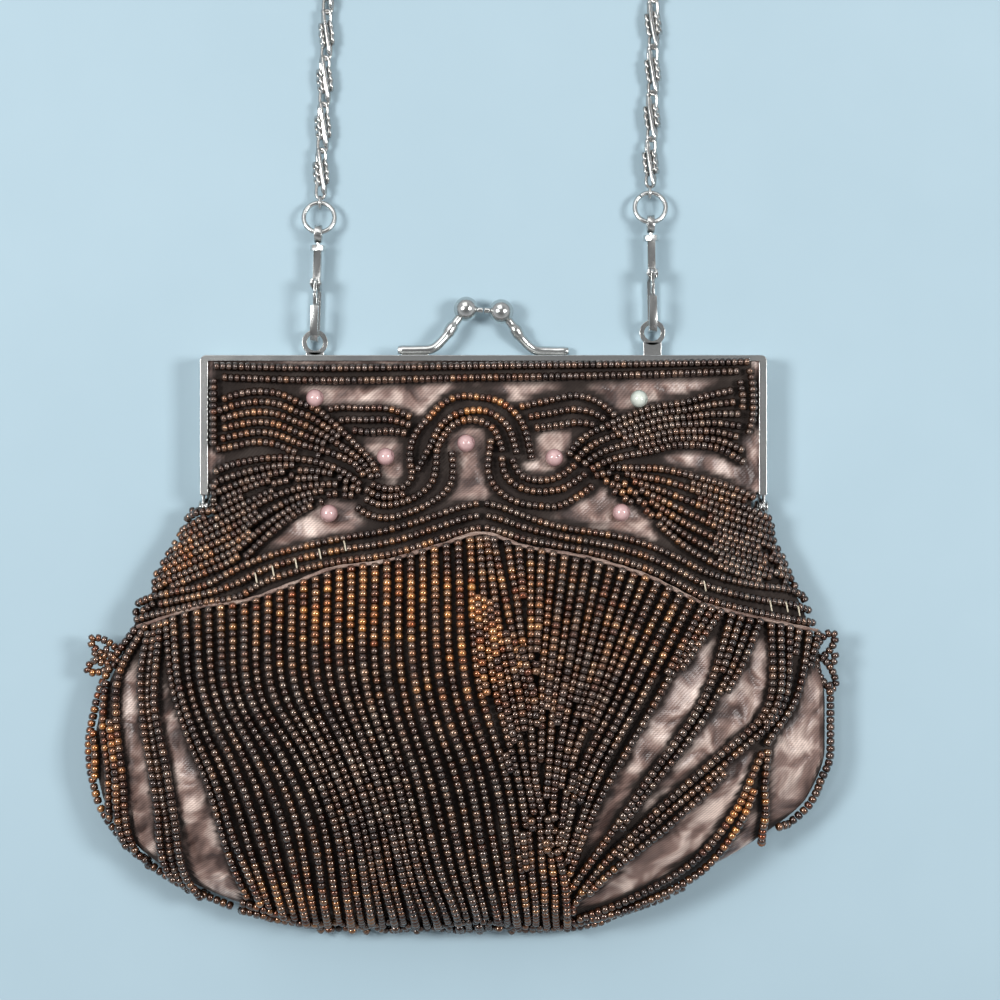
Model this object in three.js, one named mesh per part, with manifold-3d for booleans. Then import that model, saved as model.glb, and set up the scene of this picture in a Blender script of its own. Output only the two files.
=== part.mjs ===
// Beaded flapper purse lying on its back: metal kiss-clasp frame, gathered satin pouch, embroidered
// bead panel, bead fringe front and back, pearls, spring clips and a chain strap. Millimetres.
// The frame's top edge is y = 0 in the sizes below, the strap runs towards +Y, the purse rests on
// z = 0 and faces +Z.
import * as THREE from "three";
import { mergeVertices } from "three/addons/utils/BufferGeometryUtils.js";
import Module from "manifold-3d";

const wasm = await Module();
wasm.setup();

// Frame
const frameHalfWidth = 70.9;
const armReach = 35;
const frameDepth = 9.6;
const halfGap = 0.4;
const sheetMetal = 0.7;
const topFlange = 1.5;
const armFlange = 2;
const cornerRadius = 1.5;
const earDrop = 3;
const earRadius = 2.3;
const rivetRadius = 0.9;
const rivetHeadRadius = 1.7;
const rivetHead = 0.7;
const gap = 0.3;
const seat = 0.08;

// Kiss clasp
const claspFoot = 21.5;
const claspBend = 12.8;
const claspRod = 1.2;
const ballRadius = 3.1;
const ballOffset = 4.4;
const leftBallRise = 11.9;
const rightBallRise = 11.25;
const nubRadius = 0.8;

// Eyelet tabs, clips and rings
const eyeletX = 42.6;
const leftEyeletRise = 3.5;
const rightEyeletRise = 6;
const eyeletRadius = 3.3;
const eyeletHole = 2.05;
const eyeletSheet = 0.8;
const eyeletFloor = 3.2;
const clipWidth = 1.9;
const clipFloor = 0.4;
const clipHeight = 8.6;
const hookWire = 1.5;
const hookTip = 9;
const pivotAlong = 14.6;
const headEnd = 16.4;
const shaftEnd = 23.3;
const shaftRadius = 1.4;
const collarLength = 1.2;
const collarRadius = 1.9;
const leverWidth = 0.9;
const leverRadius = 1.1;
const cheek = 0.5;
const pinRadius = 0.4;
const swivelPin = 0.6;
const swivelEye = 2.25;
const swivelHole = 1.35;
const ringRadius = 3.9;
const ringWire = 0.62;
const ringTilt = 12;

// Chain strap
const chainRadius = 2.1;
const chainLinkRadius = 1.5;
const chainLinkWire = 0.45;

// Pouch and beadwork
const wall = 1.6;
const pouchLength = 142.6;
const pouchHalfWidth = 98;
const pouchDepth = 34;
const domeReach = 0.95;
const beadString = 2.1;
const skinGap = 0.55;
const fringeGap = 0.85;
const steepGap = 1.5;
const headerGap = 0.8;
const panelThickness = 1.7;
const panelSide = 0.965;
const fringeSide = 0.985;
const backSide = 0.93;
const grooveThickness = 1;
const fringeLocks = 13;
const backLocks = 11;
const backBorder = 6;
const backDrop = 5;
const pearlRadius = 2.2;
const tuftLoop = 2;
const tuftWire = 1;
const leftTuftOut = 1.75;
const rightTuftOut = 0.85;

const frameMiddle = frameDepth / 2;
const halfDepth = (frameDepth - halfGap) / 2;
const clothHold = frameMiddle - sheetMetal - gap;
const clothReach = frameHalfWidth + 0.5;
const backLift = beadString + skinGap;
const hingeDrop = armReach + earDrop;
const hingeEnd = hingeDrop + earRadius + 2;

const satin = { color: 0x8a6a5e, roughness: 0.45, metalness: 0 };
const beads = { color: 0x3a1f10, roughness: 0.25, metalness: 0.1 };
const silver = { color: 0xb9bcbc, roughness: 0.22, metalness: 1 };
const pinkPearl = { color: 0xe0a9ab, roughness: 0.2, metalness: 0 };
const whitePearl = { color: 0xdfe6d8, roughness: 0.2, metalness: 0 };

// Pouch sections from the mouth to the bottom. arm is a share of armReach, bag of the length below
// it, left and right of pouchHalfWidth, rim, edge and dome of pouchDepth, back of backLift; held is
// 1 where the frame's channels set the section, and square is the section's exponent.
const sections = [
  { arm: 0.03, bag: 0, left: 0.73, right: 0.73, held: 1, rim: 0.14, edge: 0.11, dome: 0, back: 0.4, square: 150 },
  { arm: 0.12, bag: 0, left: 0.73, right: 0.73, held: 1, rim: 0.14, edge: 0.11, dome: 0, back: 0.4, square: 150 },
  { arm: 0.25, bag: 0, left: 0.73, right: 0.73, held: 1, rim: 0.14, edge: 0.11, dome: 0.045, back: 0.4, square: 150 },
  { arm: 0.4, bag: 0, left: 0.73, right: 0.73, held: 1, rim: 0.14, edge: 0.11, dome: 0.1, back: 0.4, square: 150 },
  { arm: 0.7, bag: 0, left: 0.73, right: 0.73, held: 1, rim: 0.14, edge: 0.11, dome: 0.2, back: 0.4, square: 150 },
  { arm: 1, bag: 0, left: 0.73, right: 0.73, held: 1, rim: 0.14, edge: 0.11, dome: 0.28, back: 0.4, square: 150 },
  { arm: 1, bag: 0.07, left: 0.75, right: 0.724, held: 0, rim: 0.152, edge: 0.123, dome: 0.35, back: 1, square: 30 },
  { arm: 1, bag: 0.16, left: 0.806, right: 0.76, held: 0, rim: 0.176, edge: 0.147, dome: 0.44, back: 1, square: 12 },
  { arm: 1, bag: 0.27, left: 0.878, right: 0.82, held: 0, rim: 0.194, edge: 0.176, dome: 0.53, back: 1, square: 8 },
  { arm: 1, bag: 0.38, left: 0.93, right: 0.86, held: 0, rim: 0.21, edge: 0.205, dome: 0.57, back: 1, square: 7 },
  { arm: 1, bag: 0.48, left: 0.975, right: 0.873, held: 0, rim: 0.22, edge: 0.215, dome: 0.565, back: 1, square: 6 },
  { arm: 1, bag: 0.59, left: 0.995, right: 0.873, held: 0, rim: 0.223, edge: 0.225, dome: 0.54, back: 1, square: 6 },
  { arm: 1, bag: 0.7, left: 0.975, right: 0.83, held: 0, rim: 0.22, edge: 0.235, dome: 0.46, back: 1, square: 6 },
  { arm: 1, bag: 0.8, left: 0.905, right: 0.7, held: 0, rim: 0.215, edge: 0.235, dome: 0.36, back: 1, square: 6 },
  { arm: 1, bag: 0.88, left: 0.795, right: 0.55, held: 0, rim: 0.205, edge: 0.225, dome: 0.24, back: 1, square: 6 },
  { arm: 1, bag: 0.94, left: 0.655, right: 0.41, held: 0, rim: 0.2, edge: 0.19, dome: 0.14, back: 1.1, square: 6 },
  { arm: 1, bag: 0.98, left: 0.52, right: 0.3, held: 0, rim: 0.19, edge: 0.135, dome: 0.06, back: 1.25, square: 6 },
  { arm: 1, bag: 1, left: 0.4, right: 0.2, held: 0, rim: 0.18, edge: 0.07, dome: 0.02, back: 1.5, square: 6 },
];

// Shares across a section where its points stand, closer together near the side seams.
const frontShares = [0, 0.08, 0.16, 0.26, 0.39, 0.54, 0.69, 0.82, 0.91, 0.965, 1];
const backShares = [0, 0.5, 0.84];

// Shares of a strand's drop where its points stand, closer together where it turns under.
const frontDrops = [0, 0.14, 0.28, 0.42, 0.55, 0.68, 0.79, 0.88, 0.95, 1];
const backDrops = [0, 0.4, 0.7, 0.86, 0.94, 1];

// Dents of the satin front: ends as shares of pouchHalfWidth and pouchLength, width and depth of
// pouchDepth. The first three follow the line where the two halves of the fringe meet.
const dents = [
  { fromX: 0.04, fromY: 0.42, toX: 0.12, toY: 0.6, width: 0.45, depth: 0.03 },
  { fromX: 0.12, fromY: 0.6, toX: 0.17, toY: 0.8, width: 0.45, depth: 0.06 },
  { fromX: 0.17, fromY: 0.8, toX: 0.19, toY: 0.95, width: 0.45, depth: 0.05 },
  { fromX: -0.03, fromY: 0.76, toX: 0.03, toY: 0.85, width: 0.45, depth: 0.06 },
  { fromX: -0.84, fromY: 0.6, toX: -0.62, toY: 0.8, width: 0.3, depth: 0.035 },
  { fromX: -0.7, fromY: 0.84, toX: -0.5, toY: 0.92, width: 0.3, depth: 0.03 },
  { fromX: 0.6, fromY: 0.56, toX: 0.42, toY: 0.82, width: 0.32, depth: 0.035 },
  { fromX: 0.8, fromY: 0.54, toX: 0.62, toY: 0.76, width: 0.3, depth: 0.04 },
  { fromX: -0.4, fromY: 0.3, toX: 0.4, toY: 0.3, width: 0.4, depth: 0.03 },
];

// Lower edge of the chevron band: across runs from the left seam to the right one, down is a share
// of pouchLength.
const chevron = [
  { across: -1, down: 0.479 },
  { across: -0.7, down: 0.433 },
  { across: -0.44, down: 0.377 },
  { across: -0.19, down: 0.344 },
  { across: 0, down: 0.312 },
  { across: 0.06, down: 0.326 },
  { across: 0.35, down: 0.372 },
  { across: 0.53, down: 0.416 },
  { across: 0.68, down: 0.444 },
  { across: 0.88, down: 0.472 },
  { across: 1, down: 0.484 },
];

// Satin windows between the embroidered bands: centres as shares of pouchHalfWidth and pouchLength,
// long and short as shares of pouchHalfWidth, turn in degrees, lean swells one end.
const panelWindows = [
  { x: -0.353, y: 0.068, long: 0.34, short: 0.037, turn: -3, lean: 0.1 },
  { x: -0.005, y: 0.0605, long: 0.46, short: 0.026, turn: 1, lean: 0 },
  { x: 0.44, y: 0.068, long: 0.4, short: 0.056, turn: 2, lean: -0.3 },
  { x: -0.243, y: 0.18, long: 0.11, short: 0.085, turn: 60, lean: 0.1 },
  { x: -0.045, y: 0.175, long: 0.22, short: 0.095, turn: 88, lean: -0.25 },
  { x: 0.185, y: 0.167, long: 0.13, short: 0.09, turn: 22, lean: 0.3 },
  { x: 0.575, y: 0.207, long: 0.27, short: 0.06, turn: -20, lean: 0.1 },
  { x: -0.42, y: 0.298, long: 0.34, short: 0.09, turn: 18, lean: 0.3 },
  { x: 0.33, y: 0.286, long: 0.3, short: 0.095, turn: -16, lean: 0.25 },
];

const pearls = [
  { name: "pearl_upper_left", x: -0.427, y: 0.0735, finish: pinkPearl },
  { name: "pearl_inner_left", x: -0.244, y: 0.177, finish: pinkPearl },
  { name: "pearl_center", x: -0.043, y: 0.155, finish: pinkPearl },
  { name: "pearl_inner_right", x: 0.177, y: 0.179, finish: pinkPearl },
  { name: "pearl_upper_right", x: 0.394, y: 0.0755, finish: whitePearl },
  { name: "pearl_lower_right", x: 0.343, y: 0.275, finish: pinkPearl },
  { name: "pearl_lower_left", x: -0.384, y: 0.277, finish: pinkPearl },
];

// Fringe strands: across is where a strand leaves the chevron, the others are its places at one
// third, two thirds and the end of its drop, as shares of pouchHalfWidth.
const fringeLines = [
  { across: -1, third: -0.975, second: -0.95, end: -0.93 },
  { across: -0.68, third: -0.545, second: -0.43, end: -0.35 },
  { across: -0.34, third: -0.256, second: -0.175, end: -0.086 },
  { across: -0.03, third: 0.004, second: 0.075, end: 0.1 },
  { across: 0.02, third: 0.11, second: 0.145, end: 0.165 },
  { across: 0.09, third: 0.15, second: 0.175, end: 0.195 },
  { across: 0.58, third: 0.33, second: 0.26, end: 0.26 },
  { across: 0.84, third: 0.7, second: 0.46, end: 0.36 },
  { across: 0.95, third: 0.81, second: 0.7, end: 0.58 },
  { across: 1, third: 0.9, second: 0.865, end: 0.74 },
];

const backLines = [
  { across: -1, third: -0.96, second: -0.95, end: -0.92 },
  { across: -0.5, third: -0.45, second: -0.4, end: -0.36 },
  { across: 0, third: 0, second: 0, end: 0.02 },
  { across: 0.5, third: 0.4, second: 0.33, end: 0.27 },
  { across: 1, third: 0.87, second: 0.82, end: 0.7 },
];

// Satin showing between the strands.
const fringeWindows = [
  { x: -0.87, y: 0.5, long: 0.33, short: 0.035, turn: -80, lean: 0.2 },
  { x: -0.83, y: 0.82, long: 0.27, short: 0.045, turn: -74, lean: 0.1 },
  { x: -0.69, y: 0.84, long: 0.31, short: 0.07, turn: -64, lean: -0.2 },
  { x: 0.5, y: 0.62, long: 0.5, short: 0.045, turn: 60, lean: 0.1 },
  { x: 0.69, y: 0.6, long: 0.36, short: 0.05, turn: 66, lean: 0 },
  { x: 0.52, y: 0.82, long: 0.3, short: 0.06, turn: 55, lean: 0 },
  { x: 0.795, y: 0.66, long: 0.34, short: 0.085, turn: 80, lean: -0.1 },
];

// The strap's route seen from above, from the left jump ring round to the right one.
const strapRoute = [
  { x: -40.6, y: 60, z: 2.5 },
  { x: -39.4, y: 95, z: 2.3 },
  { x: -38.9, y: 140, z: 2.3 },
  { x: -39.6, y: 190, z: 2.3 },
  { x: -40.6, y: 230, z: 2.3 },
  { x: -36.5, y: 256, z: 2.3 },
  { x: -21, y: 276, z: 2.3 },
  { x: 1.2, y: 283, z: 2.3 },
  { x: 24, y: 275.5, z: 2.3 },
  { x: 40, y: 256, z: 2.3 },
  { x: 44.4, y: 230, z: 2.3 },
  { x: 44, y: 190, z: 2.3 },
  { x: 43.3, y: 140, z: 2.3 },
  { x: 43, y: 95, z: 2.3 },
  { x: 42.6, y: 62, z: 2.5 },
];

// Smooth monotone curve through one column of a table, keyed by another column.
function alongTable(table, key, column, at) {
  const last = table.length - 1;
  if (at <= table[0][key]) return table[0][column];
  if (at >= table[last][key]) return table[last][column];
  let i = 0;
  while (at > table[i + 1][key]) i++;
  const step = (j) => table[j + 1][key] - table[j][key];
  const slope = (j) => (table[j + 1][column] - table[j][column]) / step(j);
  const tangent = (j) => {
    if (j === 0) return slope(0);
    if (j === last) return slope(last - 1);
    const before = slope(j - 1);
    const after = slope(j);
    if (before * after <= 0) return 0;
    return (2 * before * after) / (before + after);
  };
  const width = step(i);
  const t = (at - table[i][key]) / width;
  const start = table[i][column];
  const rise = table[i + 1][column] - start;
  const cubic = (t * t * (3 - 2 * t)) * rise;
  const lead = t * (1 - t) * (1 - t) * width * tangent(i);
  const trail = t * t * (t - 1) * width * tangent(i + 1);
  return start + cubic + lead + trail;
}

// The table's rows as sizes, with down measured from the frame's top edge.
const sized = sections.map((row) => {
  const free = 1 - row.held;
  const armDown = row.arm * armReach;
  return {
    down: armDown + row.bag * (pouchLength - armReach),
    left: row.held * clothReach + free * row.left * pouchHalfWidth,
    right: row.held * clothReach + free * row.right * pouchHalfWidth,
    rim: row.held * frameMiddle + free * row.rim * pouchDepth,
    edge: row.held * clothHold + free * row.edge * pouchDepth,
    dome: row.dome * pouchDepth,
    back: row.held * (frameMiddle - clothHold) + free * row.back * backLift,
    square: Math.log(row.square),
  };
});

function sectionAt(down) {
  const at = (column) => alongTable(sized, "down", column, down);
  return {
    left: at("left"),
    right: at("right"),
    rim: at("rim"),
    edge: at("edge"),
    dome: at("dome"),
    back: at("back"),
    square: Math.exp(at("square")),
  };
}

function dentAt(x, y) {
  let sum = 0;
  for (const dent of dents) {
    const start = new THREE.Vector2(dent.fromX * pouchHalfWidth, -dent.fromY * pouchLength);
    const run = new THREE.Vector2(dent.toX * pouchHalfWidth, -dent.toY * pouchLength).sub(start);
    const away = new THREE.Vector2(x, y).sub(start);
    const share = THREE.MathUtils.clamp(away.dot(run) / run.lengthSq(), 0, 1);
    const reach = away.sub(run.multiplyScalar(share)).length() / (dent.width * pouchDepth);
    sum += dent.depth * pouchDepth * Math.exp(-reach * reach * 2);
  }
  return sum;
}

// Height of the satin at a share u across a section: a rounded edge with a dome on it in front, a
// flattened curve behind. inset moves it inwards by the wall.
function sectionHeight(section, u, y, front, inset) {
  const bend = Math.sqrt(Math.max(0, 1 - Math.abs(u) ** section.square));
  if (!front) return section.rim - (section.rim - section.back - inset) * bend;
  const crown = Math.max(0, 1 - (u / domeReach) ** 2) ** 1.25;
  const x = u * (u < 0 ? section.left : section.right);
  return section.rim + (section.edge - inset) * bend + (section.dome - dentAt(x, y)) * crown;
}

function halfWidthAt(y, x) {
  const section = sectionAt(-y);
  return x < 0 ? section.left : section.right;
}

function satinHeight(x, y, front) {
  const section = sectionAt(-y);
  const u = THREE.MathUtils.clamp(x / (x < 0 ? section.left : section.right), -1, 1);
  return sectionHeight(section, u, y, front, 0);
}

// A point held off the satin, square to it, a little further out where the satin is steep.
function offSatin(x, y, clearance, height, front) {
  const step = 0.2;
  const slopeX = (satinHeight(x + step, y, front) - satinHeight(x - step, y, front)) / (2 * step);
  const slopeY = (satinHeight(x, y + step, front) - satinHeight(x, y - step, front)) / (2 * step);
  const normal = new THREE.Vector3(-slopeX, -slopeY, 1).normalize();
  const steep = steepGap * (1 - normal.z);
  if (!front) normal.negate();
  return new THREE.Vector3(x, y, satinHeight(x, y, front)).addScaledVector(normal, clearance + steep + height);
}

function geometryOf(points, faces) {
  const geometry = new THREE.BufferGeometry();
  geometry.setAttribute("position", new THREE.Float32BufferAttribute(points.flatMap((p) => [p.x, p.y, p.z]), 3));
  geometry.setIndex(faces.flat());
  return geometry;
}

function solidOf(geometry, matrix) {
  const bare = geometry.clone();
  bare.deleteAttribute("normal");
  bare.deleteAttribute("uv");
  if (matrix) bare.applyMatrix4(matrix);
  const merged = mergeVertices(bare, 1e-4);
  return new wasm.Manifold(
    new wasm.Mesh({
      numProp: 3,
      vertProperties: merged.attributes.position.array,
      triVerts: new Uint32Array(merged.index.array),
    }),
  );
}

function meshOf(name, solid, finish) {
  const data = solid.getMesh();
  const places = new Float32Array(data.numVert * 3);
  for (let i = 0; i < data.numVert; i++) {
    places.set(data.vertProperties.subarray(i * data.numProp, i * data.numProp + 3), i * 3);
  }
  const geometry = new THREE.BufferGeometry();
  geometry.setAttribute("position", new THREE.BufferAttribute(places, 3));
  geometry.setIndex(new THREE.BufferAttribute(new Uint32Array(data.triVerts), 1));
  geometry.computeVertexNormals();
  const mesh = new THREE.Mesh(geometry, new THREE.MeshStandardMaterial(finish));
  mesh.name = name;
  return mesh;
}

// Box from its lowest to its highest corner.
function block(x0, y0, z0, x1, y1, z1) {
  const geometry = new THREE.BoxGeometry(x1 - x0, y1 - y0, z1 - z0);
  geometry.translate((x0 + x1) / 2, (y0 + y1) / 2, (z0 + z1) / 2);
  return solidOf(geometry);
}

// Round bar between two points.
function bar(from, to, radius, sides) {
  const run = to.clone().sub(from);
  const geometry = new THREE.CylinderGeometry(radius, radius, run.length(), sides);
  const turn = new THREE.Quaternion().setFromUnitVectors(new THREE.Vector3(0, 1, 0), run.clone().normalize());
  geometry.applyQuaternion(turn);
  geometry.translate(...from.clone().addScaledVector(run, 0.5).toArray());
  return solidOf(geometry);
}

function ball(center, radius, around, down) {
  const geometry = new THREE.SphereGeometry(radius, around, down);
  geometry.translate(...center.toArray());
  return solidOf(geometry);
}

// Closed tube along points, with a round section.
function tube(points, radius, sides, steps) {
  const section = new THREE.Shape();
  for (let i = 0; i < sides; i++) {
    const angle = (i * 2 * Math.PI) / sides;
    if (i === 0) section.moveTo(radius, 0);
    else section.lineTo(radius * Math.cos(angle), radius * Math.sin(angle));
  }
  const extrudePath = new THREE.CatmullRomCurve3(points, false, "centripetal");
  return solidOf(new THREE.ExtrudeGeometry(section, { steps, extrudePath, bevelEnabled: false }));
}

// Plate of an outline in x and y, from z0 up by depth.
function plate(shape, z0, depth, curveSegments = 4) {
  const geometry = new THREE.ExtrudeGeometry(shape, { depth, bevelEnabled: false, curveSegments });
  geometry.translate(0, 0, z0);
  return solidOf(geometry);
}

// Plate of an outline in y and z, centred on x = 0.
function sidePlate(shape, width, curveSegments = 5) {
  const geometry = new THREE.ExtrudeGeometry(shape, { depth: width, bevelEnabled: false, curveSegments });
  geometry.translate(0, 0, -width / 2);
  const turn = new THREE.Matrix4().set(0, 0, 1, 0, 1, 0, 0, 0, 0, 1, 0, 0, 0, 0, 0, 1);
  return solidOf(geometry, turn);
}

// Closed solid between two grids of points: top[i][j] and bottom[i][j], i along, j across.
function slab(top, bottom) {
  const rows = top.length;
  const columns = top[0].length;
  const points = [...top.flat(), ...bottom.flat()];
  const under = rows * columns;
  const faces = [];
  const quad = (a, b, c, d) => faces.push([a, b, c], [a, c, d]);
  const at = (i, j) => i * columns + j;
  for (let i = 0; i < rows - 1; i++) {
    for (let j = 0; j < columns - 1; j++) {
      quad(at(i, j), at(i + 1, j), at(i + 1, j + 1), at(i, j + 1));
      quad(under + at(i, j), under + at(i, j + 1), under + at(i + 1, j + 1), under + at(i + 1, j));
    }
    const end = columns - 1;
    quad(at(i, 0), under + at(i, 0), under + at(i + 1, 0), at(i + 1, 0));
    quad(at(i, end), at(i + 1, end), under + at(i + 1, end), under + at(i, end));
  }
  const low = rows - 1;
  for (let j = 0; j < columns - 1; j++) {
    quad(at(0, j), at(0, j + 1), under + at(0, j + 1), under + at(0, j));
    quad(at(low, j), under + at(low, j), under + at(low, j + 1), at(low, j + 1));
  }
  return solidOf(geometryOf(points, faces));
}

function evenShares(count) {
  return Array.from({ length: count }, (_, i) => i / (count - 1));
}

// A slab lying on the satin: place(row, column, count) gives x, y and thickness at shares along and
// across it, and the slab keeps a clearance to the satin.
function skin(rowShares, columns, place, front, clearance = skinGap) {
  const grid = (lift) =>
    rowShares.map((row) =>
      evenShares(columns).map((column, count) => {
        const at = place(row, column, count);
        return offSatin(at.x, at.y, clearance, lift * at.thickness, front);
      }),
    );
  return front ? slab(grid(1), grid(0)) : slab(grid(0), grid(1));
}

// Leaf-shaped cutter through the beadwork, standing along z.
function windowCutter(row) {
  const shape = new THREE.Shape();
  const points = 8;
  const turn = THREE.MathUtils.degToRad(row.turn);
  for (let i = 0; i < points; i++) {
    const angle = (i * 2 * Math.PI) / points;
    const along = (row.long / 2) * pouchHalfWidth * Math.cos(angle);
    const side = (row.short / 2) * pouchHalfWidth * Math.sin(angle) * (1 + row.lean * Math.cos(angle));
    const x = row.x * pouchHalfWidth + along * Math.cos(turn) - side * Math.sin(turn);
    const y = -row.y * pouchLength + along * Math.sin(turn) + side * Math.cos(turn);
    if (i === 0) shape.moveTo(x, y);
    else shape.lineTo(x, y);
  }
  return plate(shape, frameMiddle, 2 * pouchDepth);
}

// Closed loft through the pouch's sections, moved inwards by inset and reaching up to the mouth.
function pouchLoft(inset) {
  const mirrored = (list) => [...list.slice(1).reverse().map((u) => -u), ...list];
  const overShares = mirrored(frontShares);
  const underShares = mirrored(backShares).reverse();
  const points = [];
  const first = sized[0].down;
  const squeeze = (pouchLength - inset - first) / (pouchLength - first);
  for (const row of sized) {
    const section = sectionAt(row.down);
    const down = first + (row.down - first) * squeeze;
    const y = inset > 0 && row === sized[0] ? wall : -down;
    const place = (u, front) => {
      const reach = (u < 0 ? section.left : section.right) - inset;
      points.push(new THREE.Vector3(u * reach, y, sectionHeight(section, u, -down, front, inset)));
    };
    overShares.forEach((u) => place(u, true));
    underShares.forEach((u) => place(u, false));
  }
  const over = overShares.length;
  const around = over + underShares.length;
  const faces = [];
  for (let i = 0; i < sized.length - 1; i++) {
    for (let j = 0; j < around; j++) {
      const a = i * around + j;
      const b = i * around + ((j + 1) % around);
      faces.push([a, a + around, b + around], [a, b + around, b]);
    }
  }
  const end = (sized.length - 1) * around;
  for (const [base, flip] of [
    [0, false],
    [end, true],
  ]) {
    const outline = points.slice(base, base + around).map((p) => new THREE.Vector2(p.x, p.z));
    for (const [a, b, c] of THREE.ShapeUtils.triangulateShape(outline, [])) {
      const face = [base + a, base + b, base + c];
      faces.push(flip ? face : face.reverse());
    }
  }
  return solidOf(geometryOf(points, faces));
}

function satinPouch() {
  const high = 2 * pouchDepth;
  let solid = pouchLoft(0).subtract(pouchLoft(wall));
  const mouthLow = frameMiddle - clothHold + wall;
  const mouthHigh = frameMiddle + clothHold - wall;
  solid = solid.subtract(block(-clothReach, -armReach, mouthLow, clothReach, wall, mouthHigh));
  for (const side of [-1, 1]) {
    const far = side * 2 * pouchHalfWidth;
    const inArm = side * (frameHalfWidth - sheetMetal - 0.4);
    const byHinge = side * (frameHalfWidth - 2 * sheetMetal - 2 * gap - rivetHead - 0.4);
    const cuts = [
      [inArm, wall, armReach],
      [byHinge, -armReach + 0.8, hingeEnd],
    ];
    for (const [x, yTop, drop] of cuts) {
      solid = solid.subtract(block(Math.min(x, far), -drop, -1, Math.max(x, far), yTop, high));
    }
  }
  return meshOf("satin_pouch", solid, satin);
}

// Side of the embroidered panel: clear of the frame's arms and hinges, then along the seams.
function panelEdge(y, side) {
  const inside = frameHalfWidth - armFlange - gap - 0.9;
  const free = panelSide * halfWidthAt(y, side);
  return -y < hingeEnd ? Math.min(inside, free) : free;
}

// Point of the panel: across from seam to seam, down from the frame to the chevron's edge.
function panelPoint(share, across) {
  const top = topFlange + gap;
  const edge = alongTable(chevron, "across", "down", across) * pouchLength;
  const y = -(top + share * (edge - top));
  return { x: across * panelEdge(y, across), y };
}

// Columns across the beadwork stand closer together towards the seams; crowding is 0 for even.
function acrossOf(share, crowding) {
  const t = 2 * share - 1;
  return (1 - crowding) * t + crowding * Math.sin((t * Math.PI) / 2);
}

function panelFront() {
  const place = (i, j) => ({ ...panelPoint(i, acrossOf(j, 0.25)), thickness: panelThickness });
  let solid = skin(evenShares(9), 19, place, true);
  for (const row of panelWindows) solid = solid.subtract(windowCutter(row));
  for (const row of pearls) {
    const at = (height) => offSatin(row.x * pouchHalfWidth, -row.y * pouchLength, height, 0, true);
    solid = solid.subtract(bar(at(-pearlRadius), at(3 * pearlRadius), pearlRadius + 2 * gap, 8));
  }
  return meshOf("bead_panel_front", solid, beads);
}

// The back is plain satin with the chevron band alone.
function chevronBack() {
  const place = (i, j) => {
    const across = 2 * j - 1;
    const low = panelPoint(1, across);
    const y = low.y - backDrop + (1 - i) * backBorder;
    return { x: across * panelEdge(y, across), y, thickness: beadString };
  };
  return meshOf("bead_chevron_back", skin(evenShares(2), 19, place, false), beads);
}

// Where the satin ends below a place across: the point at which its half width has shrunk to it.
function bottomAt(x, side) {
  let high = 0.55 * pouchLength;
  let low = pouchLength;
  for (let i = 0; i < 24; i++) {
    const middle = (high + low) / 2;
    if (side * halfWidthAt(-middle, x) > Math.abs(x)) high = middle;
    else low = middle;
  }
  return -high;
}

// Point of a strand that leaves the chevron at a share across, at a share of its drop.
function strandPoint(lines, across, drop, front) {
  const top = panelPoint(1, across);
  const at = (column) => alongTable(lines, "across", column, across) * pouchHalfWidth;
  const places = [
    { drop: 0, x: top.x },
    { drop: 1 / 3, x: at("third") },
    { drop: 2 / 3, x: at("second") },
    { drop: 1, x: at("end") },
  ];
  const side = front ? fringeSide : backSide;
  const startY = top.y - headerGap - (front ? 0 : backDrop);
  const y = startY + drop * (bottomAt(at("end"), side) - startY);
  const reach = side * halfWidthAt(y, alongTable(places, "drop", "x", drop));
  return { x: THREE.MathUtils.clamp(alongTable(places, "drop", "x", drop), -reach, reach), y };
}

function fringe(name, lines, locks, drops, windows, front) {
  const place = (i, j, column) => {
    const ridge = column % 2 === 1;
    const at = strandPoint(lines, acrossOf(j, 0.45), i, front);
    return { ...at, thickness: i === 0 || ridge ? beadString : grooveThickness };
  };
  let solid = skin(drops, 2 * locks + 1, place, front, front ? fringeGap : skinGap);
  for (const row of windows) solid = solid.subtract(windowCutter(row));
  return meshOf(name, solid, beads);
}

// Small bunch of bead loops at a side seam.
function tuft(name, side, out) {
  const y = -0.53 * pouchLength;
  const x = side * (halfWidthAt(y, side) + out);
  const z = satinHeight(x, y, true) + 1;
  const loops = [35, -40].map((angle, i) => {
    const geometry = new THREE.TorusGeometry(tuftLoop, tuftWire, 4, 8);
    geometry.scale(1, 0.75, 1);
    geometry.translate(tuftLoop, 0, 0);
    geometry.rotateX(0.5 - i);
    geometry.rotateZ(THREE.MathUtils.degToRad(angle));
    if (side < 0) geometry.rotateY(Math.PI);
    geometry.translate(x, y, z);
    return solidOf(geometry);
  });
  return meshOf(name, loops[0].add(loops[1]), beads);
}

function pearl(row) {
  const x = row.x * pouchHalfWidth;
  const y = -row.y * pouchLength;
  const center = offSatin(x, y, gap, pearlRadius, true);
  return meshOf(row.name, ball(center, pearlRadius, 10, 6), row.finish);
}

// One half of the frame: a channel along the top and both arms, open towards the pouch.
function archShape(inset, topWidth, armWidth, drop) {
  const half = frameHalfWidth - inset;
  const radius = Math.max(cornerRadius - inset, 0.3);
  const shape = new THREE.Shape();
  shape.moveTo(-half, -drop);
  shape.lineTo(-frameHalfWidth + armWidth, -drop);
  shape.lineTo(-frameHalfWidth + armWidth, -topWidth);
  shape.lineTo(frameHalfWidth - armWidth, -topWidth);
  shape.lineTo(frameHalfWidth - armWidth, -drop);
  shape.lineTo(half, -drop);
  shape.lineTo(half, -inset - radius);
  shape.absarc(half - radius, -inset - radius, radius, 0, Math.PI / 2, false);
  shape.lineTo(-half + radius, -inset);
  shape.absarc(-half + radius, -inset - radius, radius, Math.PI / 2, Math.PI, false);
  return shape;
}

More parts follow.
